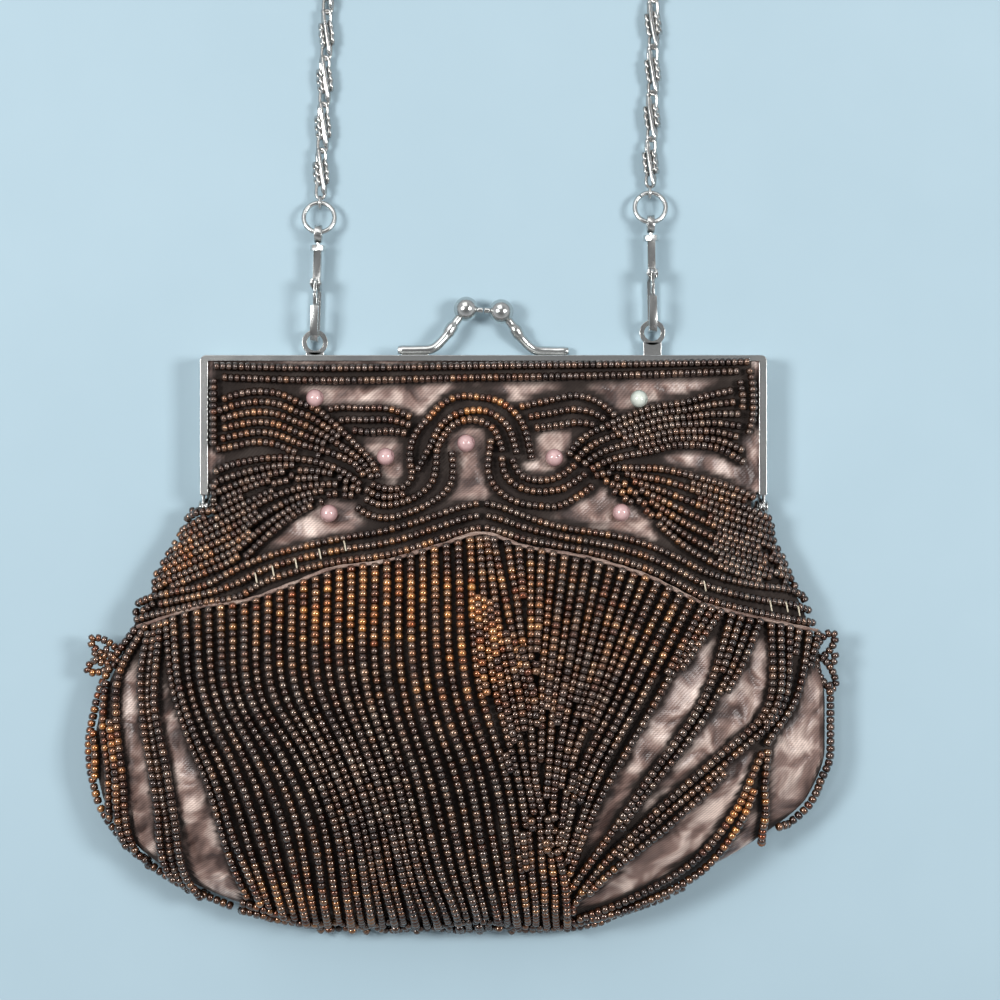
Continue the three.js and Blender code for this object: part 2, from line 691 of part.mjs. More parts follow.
function frameChannel(z0) {
  const outer = plate(archShape(0, topFlange, armFlange, armReach), z0, halfDepth, 3);
  const pocket = archShape(sheetMetal, topFlange + 1, armFlange + 1, armReach + 1);
  return outer.subtract(plate(pocket, z0 + sheetMetal, halfDepth - 2 * sheetMetal, 3));
}

// Hinge ear at an arm's end, standing in the plane of the side, with a jog that joins it to the arm.
function ear(side, outerFace, z0) {
  const innerFace = outerFace - sheetMetal;
  const xOf = (a, b) => [Math.min(side * a, side * b), Math.max(side * a, side * b)];
  const [earLow, earHigh] = xOf(innerFace, outerFace);
  const [jogLow, jogHigh] = xOf(innerFace, frameHalfWidth - seat);
  const z = frameMiddle;
  const center = (x) => new THREE.Vector3(x, -hingeDrop, z);
  const disc = bar(center(earLow), center(earHigh), earRadius, 12);
  const strap = block(earLow, -hingeDrop, z - earRadius, earHigh, -armReach + 0.6, z + earRadius);
  const stem = strap.intersect(block(earLow, -hingeDrop - 9, z0 + 2 * seat, earHigh, 0, z0 + halfDepth - 2 * seat)).add(disc);
  const bore = bar(center(earLow - 1), center(earHigh + 1), rivetRadius + gap, 8);
  const jog = block(jogLow, -armReach - 0.1, z0 + seat, jogHigh, -armReach + 0.6, z0 + halfDepth - seat);
  return stem.subtract(bore).add(jog);
}

// Rod and ball of the kiss clasp, soldered along the top edge.
function claspArm(side, rise, z0) {
  const footZ = z0 + halfDepth / 2;
  const footY = claspRod - 0.15;
  const at = (x, y, share) => new THREE.Vector3(side * x, y, THREE.MathUtils.lerp(footZ, frameMiddle, share));
  const center = at(ballOffset, rise, 1);
  const route = [
    at(claspFoot, footY, 0),
    at(claspBend + 4, footY, 0),
    at(claspBend, footY + 0.4, 0.1),
    at((claspBend + 2 * ballOffset) / 2.2, 0.36 * rise, 0.4),
    at(ballOffset + 3.1, 0.66 * rise, 0.75),
    center,
  ];
  const rod = tube(route, claspRod, 8, 9);
  const collarFrom = center.clone().lerp(route[4], 0.93);
  const collarTo = center.clone().lerp(route[4], 0.6);
  const collar = bar(collarFrom, collarTo, claspRod + 0.35, 8);
  const nub = bar(center, new THREE.Vector3(side * (gap / 2), (leftBallRise + rightBallRise) / 2, frameMiddle), nubRadius, 6);
  return rod.add(ball(center, ballRadius, 10, 7)).add(collar).add(nub);
}

// Flat punched tab that a clip hooks into.
function eyelet(side, rise) {
  const shape = new THREE.Shape();
  const x = side * eyeletX;
  const stem = 0.7 * eyeletRadius;
  const meet = Math.asin(stem / eyeletRadius);
  shape.moveTo(x - stem, -0.4);
  shape.lineTo(x + stem, -0.4);
  shape.absarc(x, rise, eyeletRadius, -Math.PI / 2 + meet, 1.5 * Math.PI - meet, false);
  const hole = new THREE.Path();
  hole.absarc(x, rise, eyeletHole, 0, 2 * Math.PI, true);
  shape.holes.push(hole);
  return plate(shape, eyeletFloor, eyeletSheet, 4);
}

function frameHalf(name, z0, earFace, claspSide, rise) {
  let solid = frameChannel(z0);
  for (const side of [-1, 1]) solid = solid.add(ear(side, earFace, z0));
  solid = solid.add(claspArm(claspSide, rise, z0));
  if (z0 === 0) solid = solid.add(eyelet(-1, leftEyeletRise)).add(eyelet(1, rightEyeletRise));
  return meshOf(name, solid, silver);
}

function rivet(name, side) {
  const innerEar = frameHalfWidth - 2 * sheetMetal - gap;
  const at = (x) => new THREE.Vector3(side * x, -hingeDrop, frameMiddle);
  const shank = bar(at(innerEar - gap - 0.1), at(frameHalfWidth + gap + 0.1), rivetRadius, 8);
  const inner = bar(at(innerEar - gap - rivetHead), at(innerEar - gap), rivetHeadRadius, 10);
  const outer = bar(at(frameHalfWidth + gap), at(frameHalfWidth + gap + rivetHead), rivetHeadRadius, 10);
  return meshOf(name, shank.add(inner).add(outer), silver);
}

const clipTop = clipFloor + clipHeight;
const leverHeight = clipTop - leverRadius;
const swivelAlong = shaftEnd + collarLength + swivelEye + 0.6;
const clipCenter = (clipFloor + clipTop) / 2;

// Hook body seen from the side: y runs from the hook's bottom to the shaft, z from the floor up.
function clipBody() {
  const low = clipFloor;
  const top = clipTop;
  const outline = new THREE.Shape();
  outline.moveTo(0, low + 3);
  outline.quadraticCurveTo(0, low, 3.4, low);
  outline.lineTo(pivotAlong - 0.6, low);
  outline.lineTo(headEnd, clipCenter - shaftRadius);
  outline.lineTo(shaftEnd, clipCenter - shaftRadius);
  outline.lineTo(shaftEnd, clipCenter + shaftRadius);
  outline.lineTo(headEnd, clipCenter + shaftRadius);
  outline.lineTo(pivotAlong + leverRadius, top);
  outline.lineTo(pivotAlong - leverRadius, top);
  outline.lineTo(pivotAlong - leverRadius - 0.2, leverHeight - leverRadius);
  outline.lineTo(pivotAlong - 1.6, low + hookWire);
  outline.lineTo(3.4, low + hookWire);
  outline.quadraticCurveTo(hookWire, low + hookWire, hookWire, low + 3.2);
  outline.lineTo(hookWire, top - 3.2);
  outline.quadraticCurveTo(hookWire, top - hookWire, 3.4, top - hookWire);
  outline.lineTo(hookTip, top - hookWire);
  outline.lineTo(hookTip, top);
  outline.lineTo(3.4, top);
  outline.quadraticCurveTo(0, top, 0, top - 3);
  const forkWidth = leverWidth + 2 * gap;
  const cheeks = new THREE.Shape();
  cheeks.absarc(pivotAlong, leverHeight, leverRadius + 0.2, 0, 2 * Math.PI, false);
  const boss = sidePlate(cheeks, forkWidth + 2 * cheek, 4);
  const slotLow = leverHeight - leverRadius - gap;
  const slot = block(-forkWidth / 2, hookTip + 1, slotLow, forkWidth / 2, headEnd + 1, top + 2);
  const pinReach = forkWidth / 2 + cheek + 0.2;
  const pinAt = (x) => new THREE.Vector3(x, pivotAlong, leverHeight);
  const pin = bar(pinAt(-pinReach), pinAt(pinReach), pinRadius, 6);
  const shaftAt = (y) => new THREE.Vector3(0, y, clipCenter);
  const collar = bar(shaftAt(shaftEnd - 0.2), shaftAt(shaftEnd + collarLength), collarRadius, 8);
  const bore = bar(shaftAt(shaftEnd - 3), shaftAt(shaftEnd + collarLength + 1), swivelPin + gap, 8);
  const body = sidePlate(outline, clipWidth, 3).add(collar).subtract(bore);
  return body.add(boss).subtract(slot).add(pin);
}

function clipLever() {
  const tip = hookTip + gap + 0.05;
  const top = clipTop;
  const low = top - hookWire;
  const shape = new THREE.Shape();
  shape.moveTo(tip, low + 0.1);
  shape.lineTo(pivotAlong - 1, leverHeight - leverRadius + 0.1);
  shape.absarc(pivotAlong, leverHeight, leverRadius, -Math.PI / 2, Math.PI / 2, false);
  shape.lineTo(pivotAlong - 2, top);
  shape.lineTo(pivotAlong - 2.6, top + 1.2);
  shape.lineTo(pivotAlong - 3.6, top + 1.2);
  shape.lineTo(pivotAlong - 3.8, top);
  shape.lineTo(tip, top - 0.1);
  const hole = new THREE.Path();
  hole.absarc(pivotAlong, leverHeight, pinRadius + gap, 0, 2 * Math.PI, true);
  shape.holes.push(hole);
  return sidePlate(shape, leverWidth, 4);
}

function clipEye() {
  const shape = new THREE.Shape();
  shape.absarc(swivelAlong, clipCenter, swivelEye, 0, 2 * Math.PI, false);
  const hole = new THREE.Path();
  hole.absarc(swivelAlong, clipCenter, swivelHole, 0, 2 * Math.PI, true);
  shape.holes.push(hole);
  const at = (y) => new THREE.Vector3(0, y, clipCenter);
  const stem = bar(at(shaftEnd - 2.5), at(swivelAlong - swivelHole - 0.3), swivelPin, 8);
  return sidePlate(shape, clipWidth, 7).add(stem);
}

const ringBottom = swivelAlong + swivelHole - gap - ringWire;

function jumpRing() {
  const geometry = new THREE.TorusGeometry(ringRadius, ringWire, 5, 16);
  geometry.translate(0, ringRadius, 0);
  geometry.rotateX(-THREE.MathUtils.degToRad(ringTilt));
  geometry.translate(0, ringBottom, clipCenter);
  return solidOf(geometry);
}

// A clip with its lever, swivel eye and jump ring, hooked into an eyelet.
function clipGroup(side, label, rise, turn) {
  const group = new THREE.Group();
  group.position.set(side * eyeletX, rise - 0.05, 0);
  group.rotation.z = THREE.MathUtils.degToRad(turn);
  group.add(meshOf(`clip_body_${label}`, clipBody(), silver));
  group.add(meshOf(`clip_lever_${label}`, clipLever(), silver));
  group.add(meshOf(`clip_eye_${label}`, clipEye(), silver));
  group.add(meshOf(`jump_ring_${label}`, jumpRing(), silver));
  group.updateMatrixWorld(true);
  return group;
}

const leftClip = clipGroup(-1, "left", leftEyeletRise, -2);
const rightClip = clipGroup(1, "right", rightEyeletRise, 1);

// The chain's outer form, with an end link through each jump ring.
function chainStrap() {
  const tilt = THREE.MathUtils.degToRad(ringTilt);
  const linkY = ringBottom + 2 * ringRadius * Math.cos(tilt);
  const linkZ = clipCenter - 2 * ringRadius * Math.sin(tilt);
  const endOf = (group) => new THREE.Vector3(0, linkY, linkZ).applyMatrix4(group.matrixWorld);
  const leftEnd = endOf(leftClip);
  const rightEnd = endOf(rightClip);
  const startOf = (end) => end.clone().add(new THREE.Vector3(0, chainLinkRadius + chainLinkWire / 2, 0));
  const middle = strapRoute.map((p) => new THREE.Vector3(p.x, p.y, p.z));
  const route = [startOf(leftEnd), ...middle, startOf(rightEnd)];
  let solid = tube(route, chainRadius, 8, 42);
  for (const end of [leftEnd, rightEnd]) {
    const link = new THREE.TorusGeometry(chainLinkRadius, chainLinkWire, 5, 10);
    link.rotateY(Math.PI / 2);
    link.translate(...end.toArray());
    solid = solid.add(solidOf(link));
  }
  return meshOf("chain_strap", solid, silver);
}

// The origin is the middle of the back half's top flange, on the face that the purse rests on.
const purse = new THREE.Group();
purse.position.y = topFlange / 2;
purse.add(frameHalf("frame_back", 0, frameHalfWidth - sheetMetal - gap, 1, rightBallRise));
purse.add(frameHalf("frame_front", frameDepth - halfDepth, frameHalfWidth - 2 * seat, -1, leftBallRise));
purse.add(rivet("hinge_rivet_left", -1));
purse.add(rivet("hinge_rivet_right", 1));
purse.add(satinPouch());
purse.add(panelFront());
purse.add(chevronBack());
purse.add(fringe("bead_fringe_front", fringeLines, fringeLocks, frontDrops, fringeWindows, true));
purse.add(fringe("bead_fringe_back", backLines, backLocks, backDrops, [], false));
purse.add(tuft("bead_tuft_left", -1, leftTuftOut));
purse.add(tuft("bead_tuft_right", 1, rightTuftOut));
for (const row of pearls) purse.add(pearl(row));
purse.add(leftClip);
purse.add(rightClip);
purse.add(chainStrap());

export default purse;
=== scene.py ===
import math
import bmesh
import bpy
import numpy as np
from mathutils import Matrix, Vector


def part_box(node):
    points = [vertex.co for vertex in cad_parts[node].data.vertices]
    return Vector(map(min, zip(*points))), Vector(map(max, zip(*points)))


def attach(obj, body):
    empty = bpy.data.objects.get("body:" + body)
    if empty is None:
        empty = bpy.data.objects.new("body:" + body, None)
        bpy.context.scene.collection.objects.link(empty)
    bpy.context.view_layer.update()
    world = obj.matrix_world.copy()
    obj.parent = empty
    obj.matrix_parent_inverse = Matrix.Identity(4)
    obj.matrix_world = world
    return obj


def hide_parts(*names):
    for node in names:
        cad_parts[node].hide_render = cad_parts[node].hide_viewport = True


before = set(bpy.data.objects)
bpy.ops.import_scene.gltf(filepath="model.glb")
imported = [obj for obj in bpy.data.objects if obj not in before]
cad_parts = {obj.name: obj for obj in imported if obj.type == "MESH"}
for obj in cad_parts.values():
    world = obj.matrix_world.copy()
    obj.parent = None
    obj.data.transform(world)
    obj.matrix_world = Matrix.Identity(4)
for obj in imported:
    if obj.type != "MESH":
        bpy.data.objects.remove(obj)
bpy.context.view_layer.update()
scene = bpy.context.scene
dice = np.random.default_rng(7)
originRise = 0.75  # the drawing's y = 0 is the frame's top edge, this much above the shared origin

# Camera and light
view = {"middle": (4.125, -36.25), "pixel": 0.25, "near": 9.6, "distance": 600.0, "lens": 86.4}
camera = bpy.data.objects.new("camera", bpy.data.cameras.new("camera"))
camera.data.lens = view["lens"]
camera.data.sensor_width = 36
camera.data.clip_start = 0.01
camera.location = (view["middle"][0] * 0.001, (view["middle"][1] + originRise) * 0.001,
                   (view["near"] + view["distance"]) * 0.001)
scene.collection.objects.link(camera)
scene.camera = camera

lamps = {
    "left": {"at": (-0.46, 0.06, 0.70), "size": 0.22, "power": 4.2},
    "right": {"at": (0.50, 0.04, 0.68), "size": 0.22, "power": 3.9},
    "fill": {"at": (-0.25, 0.85, 1.0), "size": 0.9, "power": 4.5},
}
for lampName, row in lamps.items():
    lamp = bpy.data.objects.new(lampName, bpy.data.lights.new(lampName, "AREA"))
    lamp.data.size = row["size"]
    lamp.data.energy = row["power"]
    lamp.location = row["at"]
    aim = -np.array(row["at"]) + (0, -0.04, 0)
    tip = math.atan2(math.hypot(aim[0], aim[1]), -aim[2])
    lamp.rotation_euler = (tip, 0, math.atan2(aim[0], -aim[1]) + math.pi)
    scene.collection.objects.link(lamp)
world = bpy.data.worlds.new("studio")
world.use_nodes = True
# What shines reflects a studio that is dark overhead and bright round the sides.
soft = world.node_tree.nodes["Background"]
soft.inputs["Color"].default_value = (0.88, 0.92, 0.97, 1)
soft.inputs["Strength"].default_value = 0.28
scene.world = world
scene.view_settings.view_transform = "Standard"
sky = world.node_tree
room = sky.nodes.new("ShaderNodeBackground")
direction = sky.nodes.new("ShaderNodeTexCoord")
height = sky.nodes.new("ShaderNodeSeparateXYZ")
levels = sky.nodes.new("ShaderNodeValToRGB")
rays = sky.nodes.new("ShaderNodeLightPath")
both = sky.nodes.new("ShaderNodeMixShader")
for place, tone in ((0.0, 0.25), (0.3, 0.62), (0.62, 0.4), (0.93, 0.1), (1.0, 0.22)):
    stops = levels.color_ramp.elements
    stop = stops.new(place) if 0 < place < 1 else stops[-1 if place else 0]
    stop.color = (tone, tone * 1.02, tone * 1.05, 1)
for start, end in ((direction.outputs["Generated"], height.inputs[0]),
                   (height.outputs["Z"], levels.inputs[0]),
                   (levels.outputs[0], room.inputs["Color"]), (rays.outputs["Is Glossy Ray"], both.inputs[0]),
                   (soft.outputs[0], both.inputs[1]), (room.outputs[0], both.inputs[2]),
                   (both.outputs[0], sky.nodes["World Output"].inputs["Surface"])):
    sky.links.new(start, end)
print("camera and light")


# Materials. Each helper adds one node and returns it.
def newMaterial(name, **settings):
    material = bpy.data.materials.new(name)
    material.use_nodes = True
    shader = material.node_tree.nodes["Principled BSDF"]
    for key, value in settings.items():
        shader.inputs[key.replace("_", " ")].default_value = value
    return material, material.node_tree, shader


def addNode(tree, kind, **settings):
    node = tree.nodes.new(kind)
    for key, value in settings.items():
        if key in node.bl_rna.properties:
            setattr(node, key, value)
        else:
            node.inputs[key].default_value = value
    return node


def blendColours(tree, share, first, second, mode="MIX"):
    node = addNode(tree, "ShaderNodeMix", data_type="RGBA", blend_type=mode)
    for socket, value in ((node.inputs[0], share), (node.inputs[6], first), (node.inputs[7], second)):
        if isinstance(value, bpy.types.NodeSocket):
            tree.links.new(value, socket)
        else:
            socket.default_value = value
    return node.outputs[2]


def sumOf(tree, kind, first, second):
    node = addNode(tree, "ShaderNodeMath", operation=kind)
    for socket, value in ((node.inputs[0], first), (node.inputs[1], second)):
        if isinstance(value, bpy.types.NodeSocket):
            tree.links.new(value, socket)
        else:
            socket.default_value = value
    return node.outputs[0]


# Woven cloth: diagonal twill lines over a crossing thread, with slubs that vary the tone.
def clothGroup():
    group = bpy.data.node_groups.new("wovenCloth", "ShaderNodeTree")
    group.interface.new_socket(name="Place", in_out="INPUT", socket_type="NodeSocketVector")
    for name in ("Twill", "Slub", "Crease"):
        group.interface.new_socket(name=name, in_out="INPUT", socket_type="NodeSocketFloat")
    for name in ("Height", "Tone", "Fold"):
        group.interface.new_socket(name=name, in_out="OUTPUT", socket_type="NodeSocketFloat")
    start = group.nodes.new("NodeGroupInput")
    end = group.nodes.new("NodeGroupOutput")
    twill = addNode(group, "ShaderNodeTexWave", wave_type="BANDS", bands_direction="DIAGONAL", Distortion=0.6)
    thread = addNode(group, "ShaderNodeTexWave", wave_type="BANDS", bands_direction="Y", Distortion=0.3)
    slub = addNode(group, "ShaderNodeTexNoise", Detail=3.0, Roughness=0.6)
    fold = addNode(group, "ShaderNodeTexNoise", Detail=2.0, Roughness=0.5, Distortion=0.4)
    for node, socket in ((twill, "Twill"), (thread, "Twill"), (slub, "Slub"), (fold, "Crease")):
        group.links.new(start.outputs["Place"], node.inputs["Vector"])
        group.links.new(start.outputs[socket], node.inputs["Scale"])
    weave = sumOf(group, "MULTIPLY", twill.outputs["Fac"], 0.7)
    weave = sumOf(group, "ADD", weave, sumOf(group, "MULTIPLY", thread.outputs["Fac"], 0.3))
    group.links.new(weave, end.inputs["Height"])
    group.links.new(slub.outputs["Fac"], end.inputs["Tone"])
    group.links.new(fold.outputs["Fac"], end.inputs["Fold"])
    return group


# Handled surface: cloudy wear and fine scratches.
def wearGroup():
    group = bpy.data.node_groups.new("handledWear", "ShaderNodeTree")
    group.interface.new_socket(name="Cloud", in_out="INPUT", socket_type="NodeSocketFloat")
    group.interface.new_socket(name="Grain", in_out="INPUT", socket_type="NodeSocketFloat")
    for name in ("Worn", "Scratch"):
        group.interface.new_socket(name=name, in_out="OUTPUT", socket_type="NodeSocketFloat")
    start = group.nodes.new("NodeGroupInput")
    end = group.nodes.new("NodeGroupOutput")
    place = addNode(group, "ShaderNodeTexCoord")
    cloud = addNode(group, "ShaderNodeTexNoise", Detail=4.0, Roughness=0.65)
    grain = addNode(group, "ShaderNodeTexNoise", Detail=6.0, Roughness=0.7)
    for node, socket in ((cloud, "Cloud"), (grain, "Grain")):
        group.links.new(place.outputs["Object"], node.inputs["Vector"])
        group.links.new(start.outputs[socket], node.inputs["Scale"])
    group.links.new(cloud.outputs["Fac"], end.inputs["Worn"])
    group.links.new(grain.outputs["Fac"], end.inputs["Scratch"])
    return group


clothNodes = clothGroup()
wearNodes = wearGroup()


def useGroup(tree, group, **settings):
    node = tree.nodes.new("ShaderNodeGroup")
    node.node_tree = group
    for key, value in settings.items():
        node.inputs[key].default_value = value
    return node


def rampOf(tree, source, stops):
    node = tree.nodes.new("ShaderNodeValToRGB")
    band = node.color_ramp
    while len(band.elements) < len(stops):
        band.elements.new(0.5)
    for element, (place, colour) in zip(band.elements, stops):
        element.position = place
        element.color = (*colour, 1)
    tree.links.new(source, node.inputs["Fac"])
    return node.outputs["Color"]


def roughen(tree, shader, height, strength, distance):
    bump = addNode(tree, "ShaderNodeBump", Strength=strength, Distance=distance)
    tree.links.new(height, bump.inputs["Height"])
    tree.links.new(bump.outputs["Normal"], shader.inputs["Normal"])


def satinMaterial(name, dark, middle, light, shaded=True):
    material, tree, shader = newMaterial(name, Roughness=0.36, Sheen_Weight=0.14, Sheen_Roughness=0.3)
    shader.inputs["Sheen Tint"].default_value = (1.0, 0.86, 0.8, 1)
    place = addNode(tree, "ShaderNodeUVMap", uv_map="cloth")
    cloth = useGroup(tree, clothNodes, Twill=0.62, Slub=0.3, Crease=0.13)
    tree.links.new(place.outputs["UV"], cloth.inputs["Place"])
    # Painted sheen: satin's shine on its folds is painted into the colour as a soft streaky light and dark
    # tone, over the fine slubs.
    tone = rampOf(tree, cloth.outputs["Fold"], [(0.36, dark), (0.5, middle), (0.66, light)])
    slubs = rampOf(tree, cloth.outputs["Tone"], [(0.3, (0.86, 0.85, 0.85)), (0.7, (1.1, 1.09, 1.08))])
    lines = rampOf(tree, cloth.outputs["Height"], [(0.0, (0.68, 0.65, 0.64)), (1.0, (1.12, 1.1, 1.09))])
    colour = blendColours(tree, 1.0, blendColours(tree, 1.0, tone, slubs, "MULTIPLY"), lines, "MULTIPLY")
    if shaded:
        shade = addNode(tree, "ShaderNodeAttribute", attribute_name="shade")
        colour = blendColours(tree, shade.outputs["Fac"], colour, (0.01, 0.005, 0.003, 1))
        gloss = sumOf(tree, "ADD", sumOf(tree, "MULTIPLY", shade.outputs["Fac"], 0.55), 0.36)
        tree.links.new(gloss, shader.inputs["Roughness"])
    tree.links.new(colour, shader.inputs["Base Color"])
    bump = addNode(tree, "ShaderNodeBump", Strength=0.8, Distance=0.0022)
    fine = addNode(tree, "ShaderNodeBump", Strength=0.3, Distance=0.00012)
    tree.links.new(cloth.outputs["Fold"], bump.inputs["Height"])
    tree.links.new(cloth.outputs["Height"], fine.inputs["Height"])
    tree.links.new(bump.outputs["Normal"], fine.inputs["Normal"])
    tree.links.new(fine.outputs["Normal"], shader.inputs["Normal"])
    return material


def beadMaterial():
    material, tree, shader = newMaterial("seedBeadGlass", Roughness=0.17, IOR=1.7)
    shader.inputs["Coat Roughness"].default_value = 0.04
    shader.inputs["Coat IOR"].default_value = 1.85
    tint = addNode(tree, "ShaderNodeAttribute", attribute_name="bead")
    parts = addNode(tree, "ShaderNodeSeparateColor")
    tree.links.new(tint.outputs["Color"], parts.inputs["Color"])
    glowShare, lustre, chance = parts.outputs[0], parts.outputs[1], parts.outputs[2]
    body = rampOf(tree, chance, [(0.0, (0.015, 0.005, 0.0025)), (1.0, (0.065, 0.025, 0.012))])
    # Painted glow: the orange light that shines through the glass, given as base colour.
    paintedGlow = rampOf(tree, chance, [(0.0, (0.3, 0.065, 0.008)), (1.0, (0.75, 0.3, 0.055))])
    pale = rampOf(tree, chance, [(0.0, (0.12, 0.085, 0.062)), (1.0, (0.36, 0.29, 0.22))])
    facing = addNode(tree, "ShaderNodeLayerWeight", Blend=0.46)
    colour = blendColours(tree, glowShare, body, paintedGlow)
    colour = blendColours(tree, lustre, colour, pale)
    # Painted shade: each bead's colour darkens towards its rim.
    colour = blendColours(tree, facing.outputs["Facing"], colour, (0.01, 0.005, 0.004, 1))
    tree.links.new(colour, shader.inputs["Base Color"])
    metal = sumOf(tree, "ADD", sumOf(tree, "MULTIPLY", lustre, 0.35), 0.64)
    coat = sumOf(tree, "ADD", sumOf(tree, "MULTIPLY", chance, 0.5), 0.4)
    tree.links.new(metal, shader.inputs["Metallic"])
    tree.links.new(coat, shader.inputs["Coat Weight"])
    wear = useGroup(tree, wearNodes, Cloud=900.0, Grain=2600.0)
    roughen(tree, shader, wear.outputs["Worn"], 0.12, 0.0001)
    return material


def nickelMaterial(name, tint=(0.63, 0.64, 0.63), dull=(0.48, 0.48, 0.465)):
    material, tree, shader = newMaterial(name, Metallic=1.0)
    wear = useGroup(tree, wearNodes, Cloud=170.0, Grain=2400.0)
    colour = rampOf(tree, wear.outputs["Worn"], [(0.25, dull), (0.62, tint)])
    tree.links.new(colour, shader.inputs["Base Color"])
    rough = rampOf(tree, wear.outputs["Worn"], [(0.25, (0.27,) * 3), (0.65, (0.19,) * 3)])
    tree.links.new(rough, shader.inputs["Roughness"])
    roughen(tree, shader, wear.outputs["Scratch"], 0.1, 0.00008)
    return material


def pearlMaterial(name, body, rim):
    material, tree, shader = newMaterial(name, Roughness=0.2, Coat_Weight=0.7, Coat_Roughness=0.06)
    facing = addNode(tree, "ShaderNodeLayerWeight", Blend=0.45)
    wear = useGroup(tree, wearNodes, Cloud=420.0, Grain=1800.0)
    tone = rampOf(tree, wear.outputs["Worn"], [(0.3, tuple(0.82 * c for c in body)), (0.65, body)])
    # Painted shade: the pearl's colour darkens to the rim colour towards its edge.
    tree.links.new(blendColours(tree, facing.outputs["Facing"], tone, (*rim, 1)), shader.inputs["Base Color"])
    roughen(tree, shader, wear.outputs["Scratch"], 0.06, 0.00006)
    return material


def floorMaterial():
    material, tree, shader = newMaterial("paleFloor", Roughness=0.75)
    wear = useGroup(tree, wearNodes, Cloud=9.0, Grain=700.0)
    colour = rampOf(tree, wear.outputs["Worn"], [(0.3, (0.36, 0.485, 0.552)), (0.7, (0.385, 0.512, 0.58))])
    tree.links.new(colour, shader.inputs["Base Color"])
    return material


# Satin and piping colours run from dark to light; their spread is the painted sheen on the folds.
satinCloth = satinMaterial("roseTaupeSatin", (0.065, 0.037, 0.031), (0.26, 0.172, 0.146), (0.74, 0.6, 0.53))
pipingCloth = satinMaterial("satinPiping", (0.22, 0.14, 0.115), (0.33, 0.23, 0.19), (0.46, 0.35, 0.29),
                            shaded=False)
beadGlass = beadMaterial()
nickel = nickelMaterial("nickelPlate")
chainNickel = nickelMaterial("chainNickel", (0.58, 0.575, 0.56), (0.4, 0.395, 0.38))
# Each pearl: its body colour and the painted shade at its rim.
pinkPearl = pearlMaterial("pinkPearl", (0.68, 0.44, 0.43), (0.3, 0.14, 0.14))
whitePearl = pearlMaterial("whitePearl", (0.72, 0.76, 0.68), (0.3, 0.34, 0.3))
creamThread, threadTree, threadShader = newMaterial("creamThread", Roughness=0.7)
threadWear = useGroup(threadTree, wearNodes, Cloud=1500.0, Grain=3000.0)
threadTone = rampOf(threadTree, threadWear.outputs["Worn"],
                    [(0.3, (0.5, 0.42, 0.3)), (0.7, (0.72, 0.64, 0.5))])
threadTree.links.new(threadTone, threadShader.inputs["Base Color"])
print("materials")


# Mesh helpers. Rows of a grid run along a path, columns turn round it from n to t x n, so that the
# faces point outwards.
def gridFaces(rows, columns, loopRows=False, loopColumns=True):
    i = np.arange(rows if loopRows else rows - 1)
    j = np.arange(columns if loopColumns else columns - 1)
    i, j = [side.ravel() for side in np.meshgrid(i, j, indexing="ij")]
    below, beside = (i + 1) % rows, (j + 1) % columns
    return np.stack([i * columns + j, i * columns + beside, below * columns + beside, below * columns + j], 1)


def unit(rows):
    return rows / np.maximum(np.linalg.norm(rows, axis=-1, keepdims=True), 1e-9)


def directionsAlong(path, closed):
    ahead = np.roll(path, -1, 0) - np.roll(path, 1, 0) if closed else np.gradient(path, axis=0)
    return unit(ahead)


# A flat outline (k, 2) in the directions n and t x n, carried along a path; up chooses n.
def sweep(path, outline, closed=False, up=(0, 0, 1), scale=None):
    path = np.asarray(path, float)
    t = directionsAlong(path, closed)
    up = np.asarray(up, float)
    n = unit(up - (t @ up)[:, None] * t)
    b = np.cross(t, n)
    size = np.ones(len(path)) if scale is None else np.asarray(scale, float)
    outline = np.asarray(outline, float)
    spread = outline[None, :, 0, None] * n[:, None] + outline[None, :, 1, None] * b[:, None]
    points = (path[:, None] + size[:, None, None] * spread).reshape(-1, 3)
    k = len(outline)
    faces = [gridFaces(len(path), k, loopRows=closed)]
    if not closed:
        faces.append(np.arange(k)[::-1][None])
        faces.append((len(path) - 1) * k + np.arange(k)[None])
    return points, faces


def circleOf(radius, sides):
    a = np.arange(sides) * 2 * np.pi / sides
    return radius * np.stack([np.cos(a), np.sin(a)], 1)


# Sphere: rings from the south pole to the north pole, each pole closed by a fan.
def ballAt(center, radius, around=28, down=16):
    a = np.arange(around) * 2 * np.pi / around
    b = np.linspace(np.pi, 0, down + 1)[1:-1]
    rings = np.stack([np.outer(np.sin(b), np.cos(a)), np.outer(np.sin(b), np.sin(a)),
                      np.outer(np.cos(b), np.ones(around))], -1).reshape(-1, 3)
    points = np.concatenate([rings, [[0, 0, -1], [0, 0, 1]]]) * radius + center
    last, j = len(rings), np.arange(around)
    k = (j + 1) % around
    top = (down - 2) * around
    fans = np.concatenate([np.stack([np.full(around, last), k, j], 1),
                           np.stack([np.full(around, last + 1), top + j, top + k], 1)])
    return points, [gridFaces(down - 1, around), fans]


def boxOf(low, high):
    x, y, z = [sorted(pair) for pair in zip(low, high)]
    ring = np.array([[x[0], y[0]], [x[1], y[0]], [x[1], y[1]], [x[0], y[1]]])
    points = np.concatenate([np.c_[ring, np.full(4, z[0])], np.c_[ring, np.full(4, z[1])]])
    return points, [gridFaces(2, 4), np.array([[3, 2, 1, 0], [4, 5, 6, 7]])]


def joined(parts):
    points, faces, base = [], [], 0
    for partPoints, partFaces in parts:
        points.append(np.asarray(partPoints).reshape(-1, 3))
        faces += [group + base for group in partFaces]
        base += len(points[-1])
    return np.concatenate(points), faces


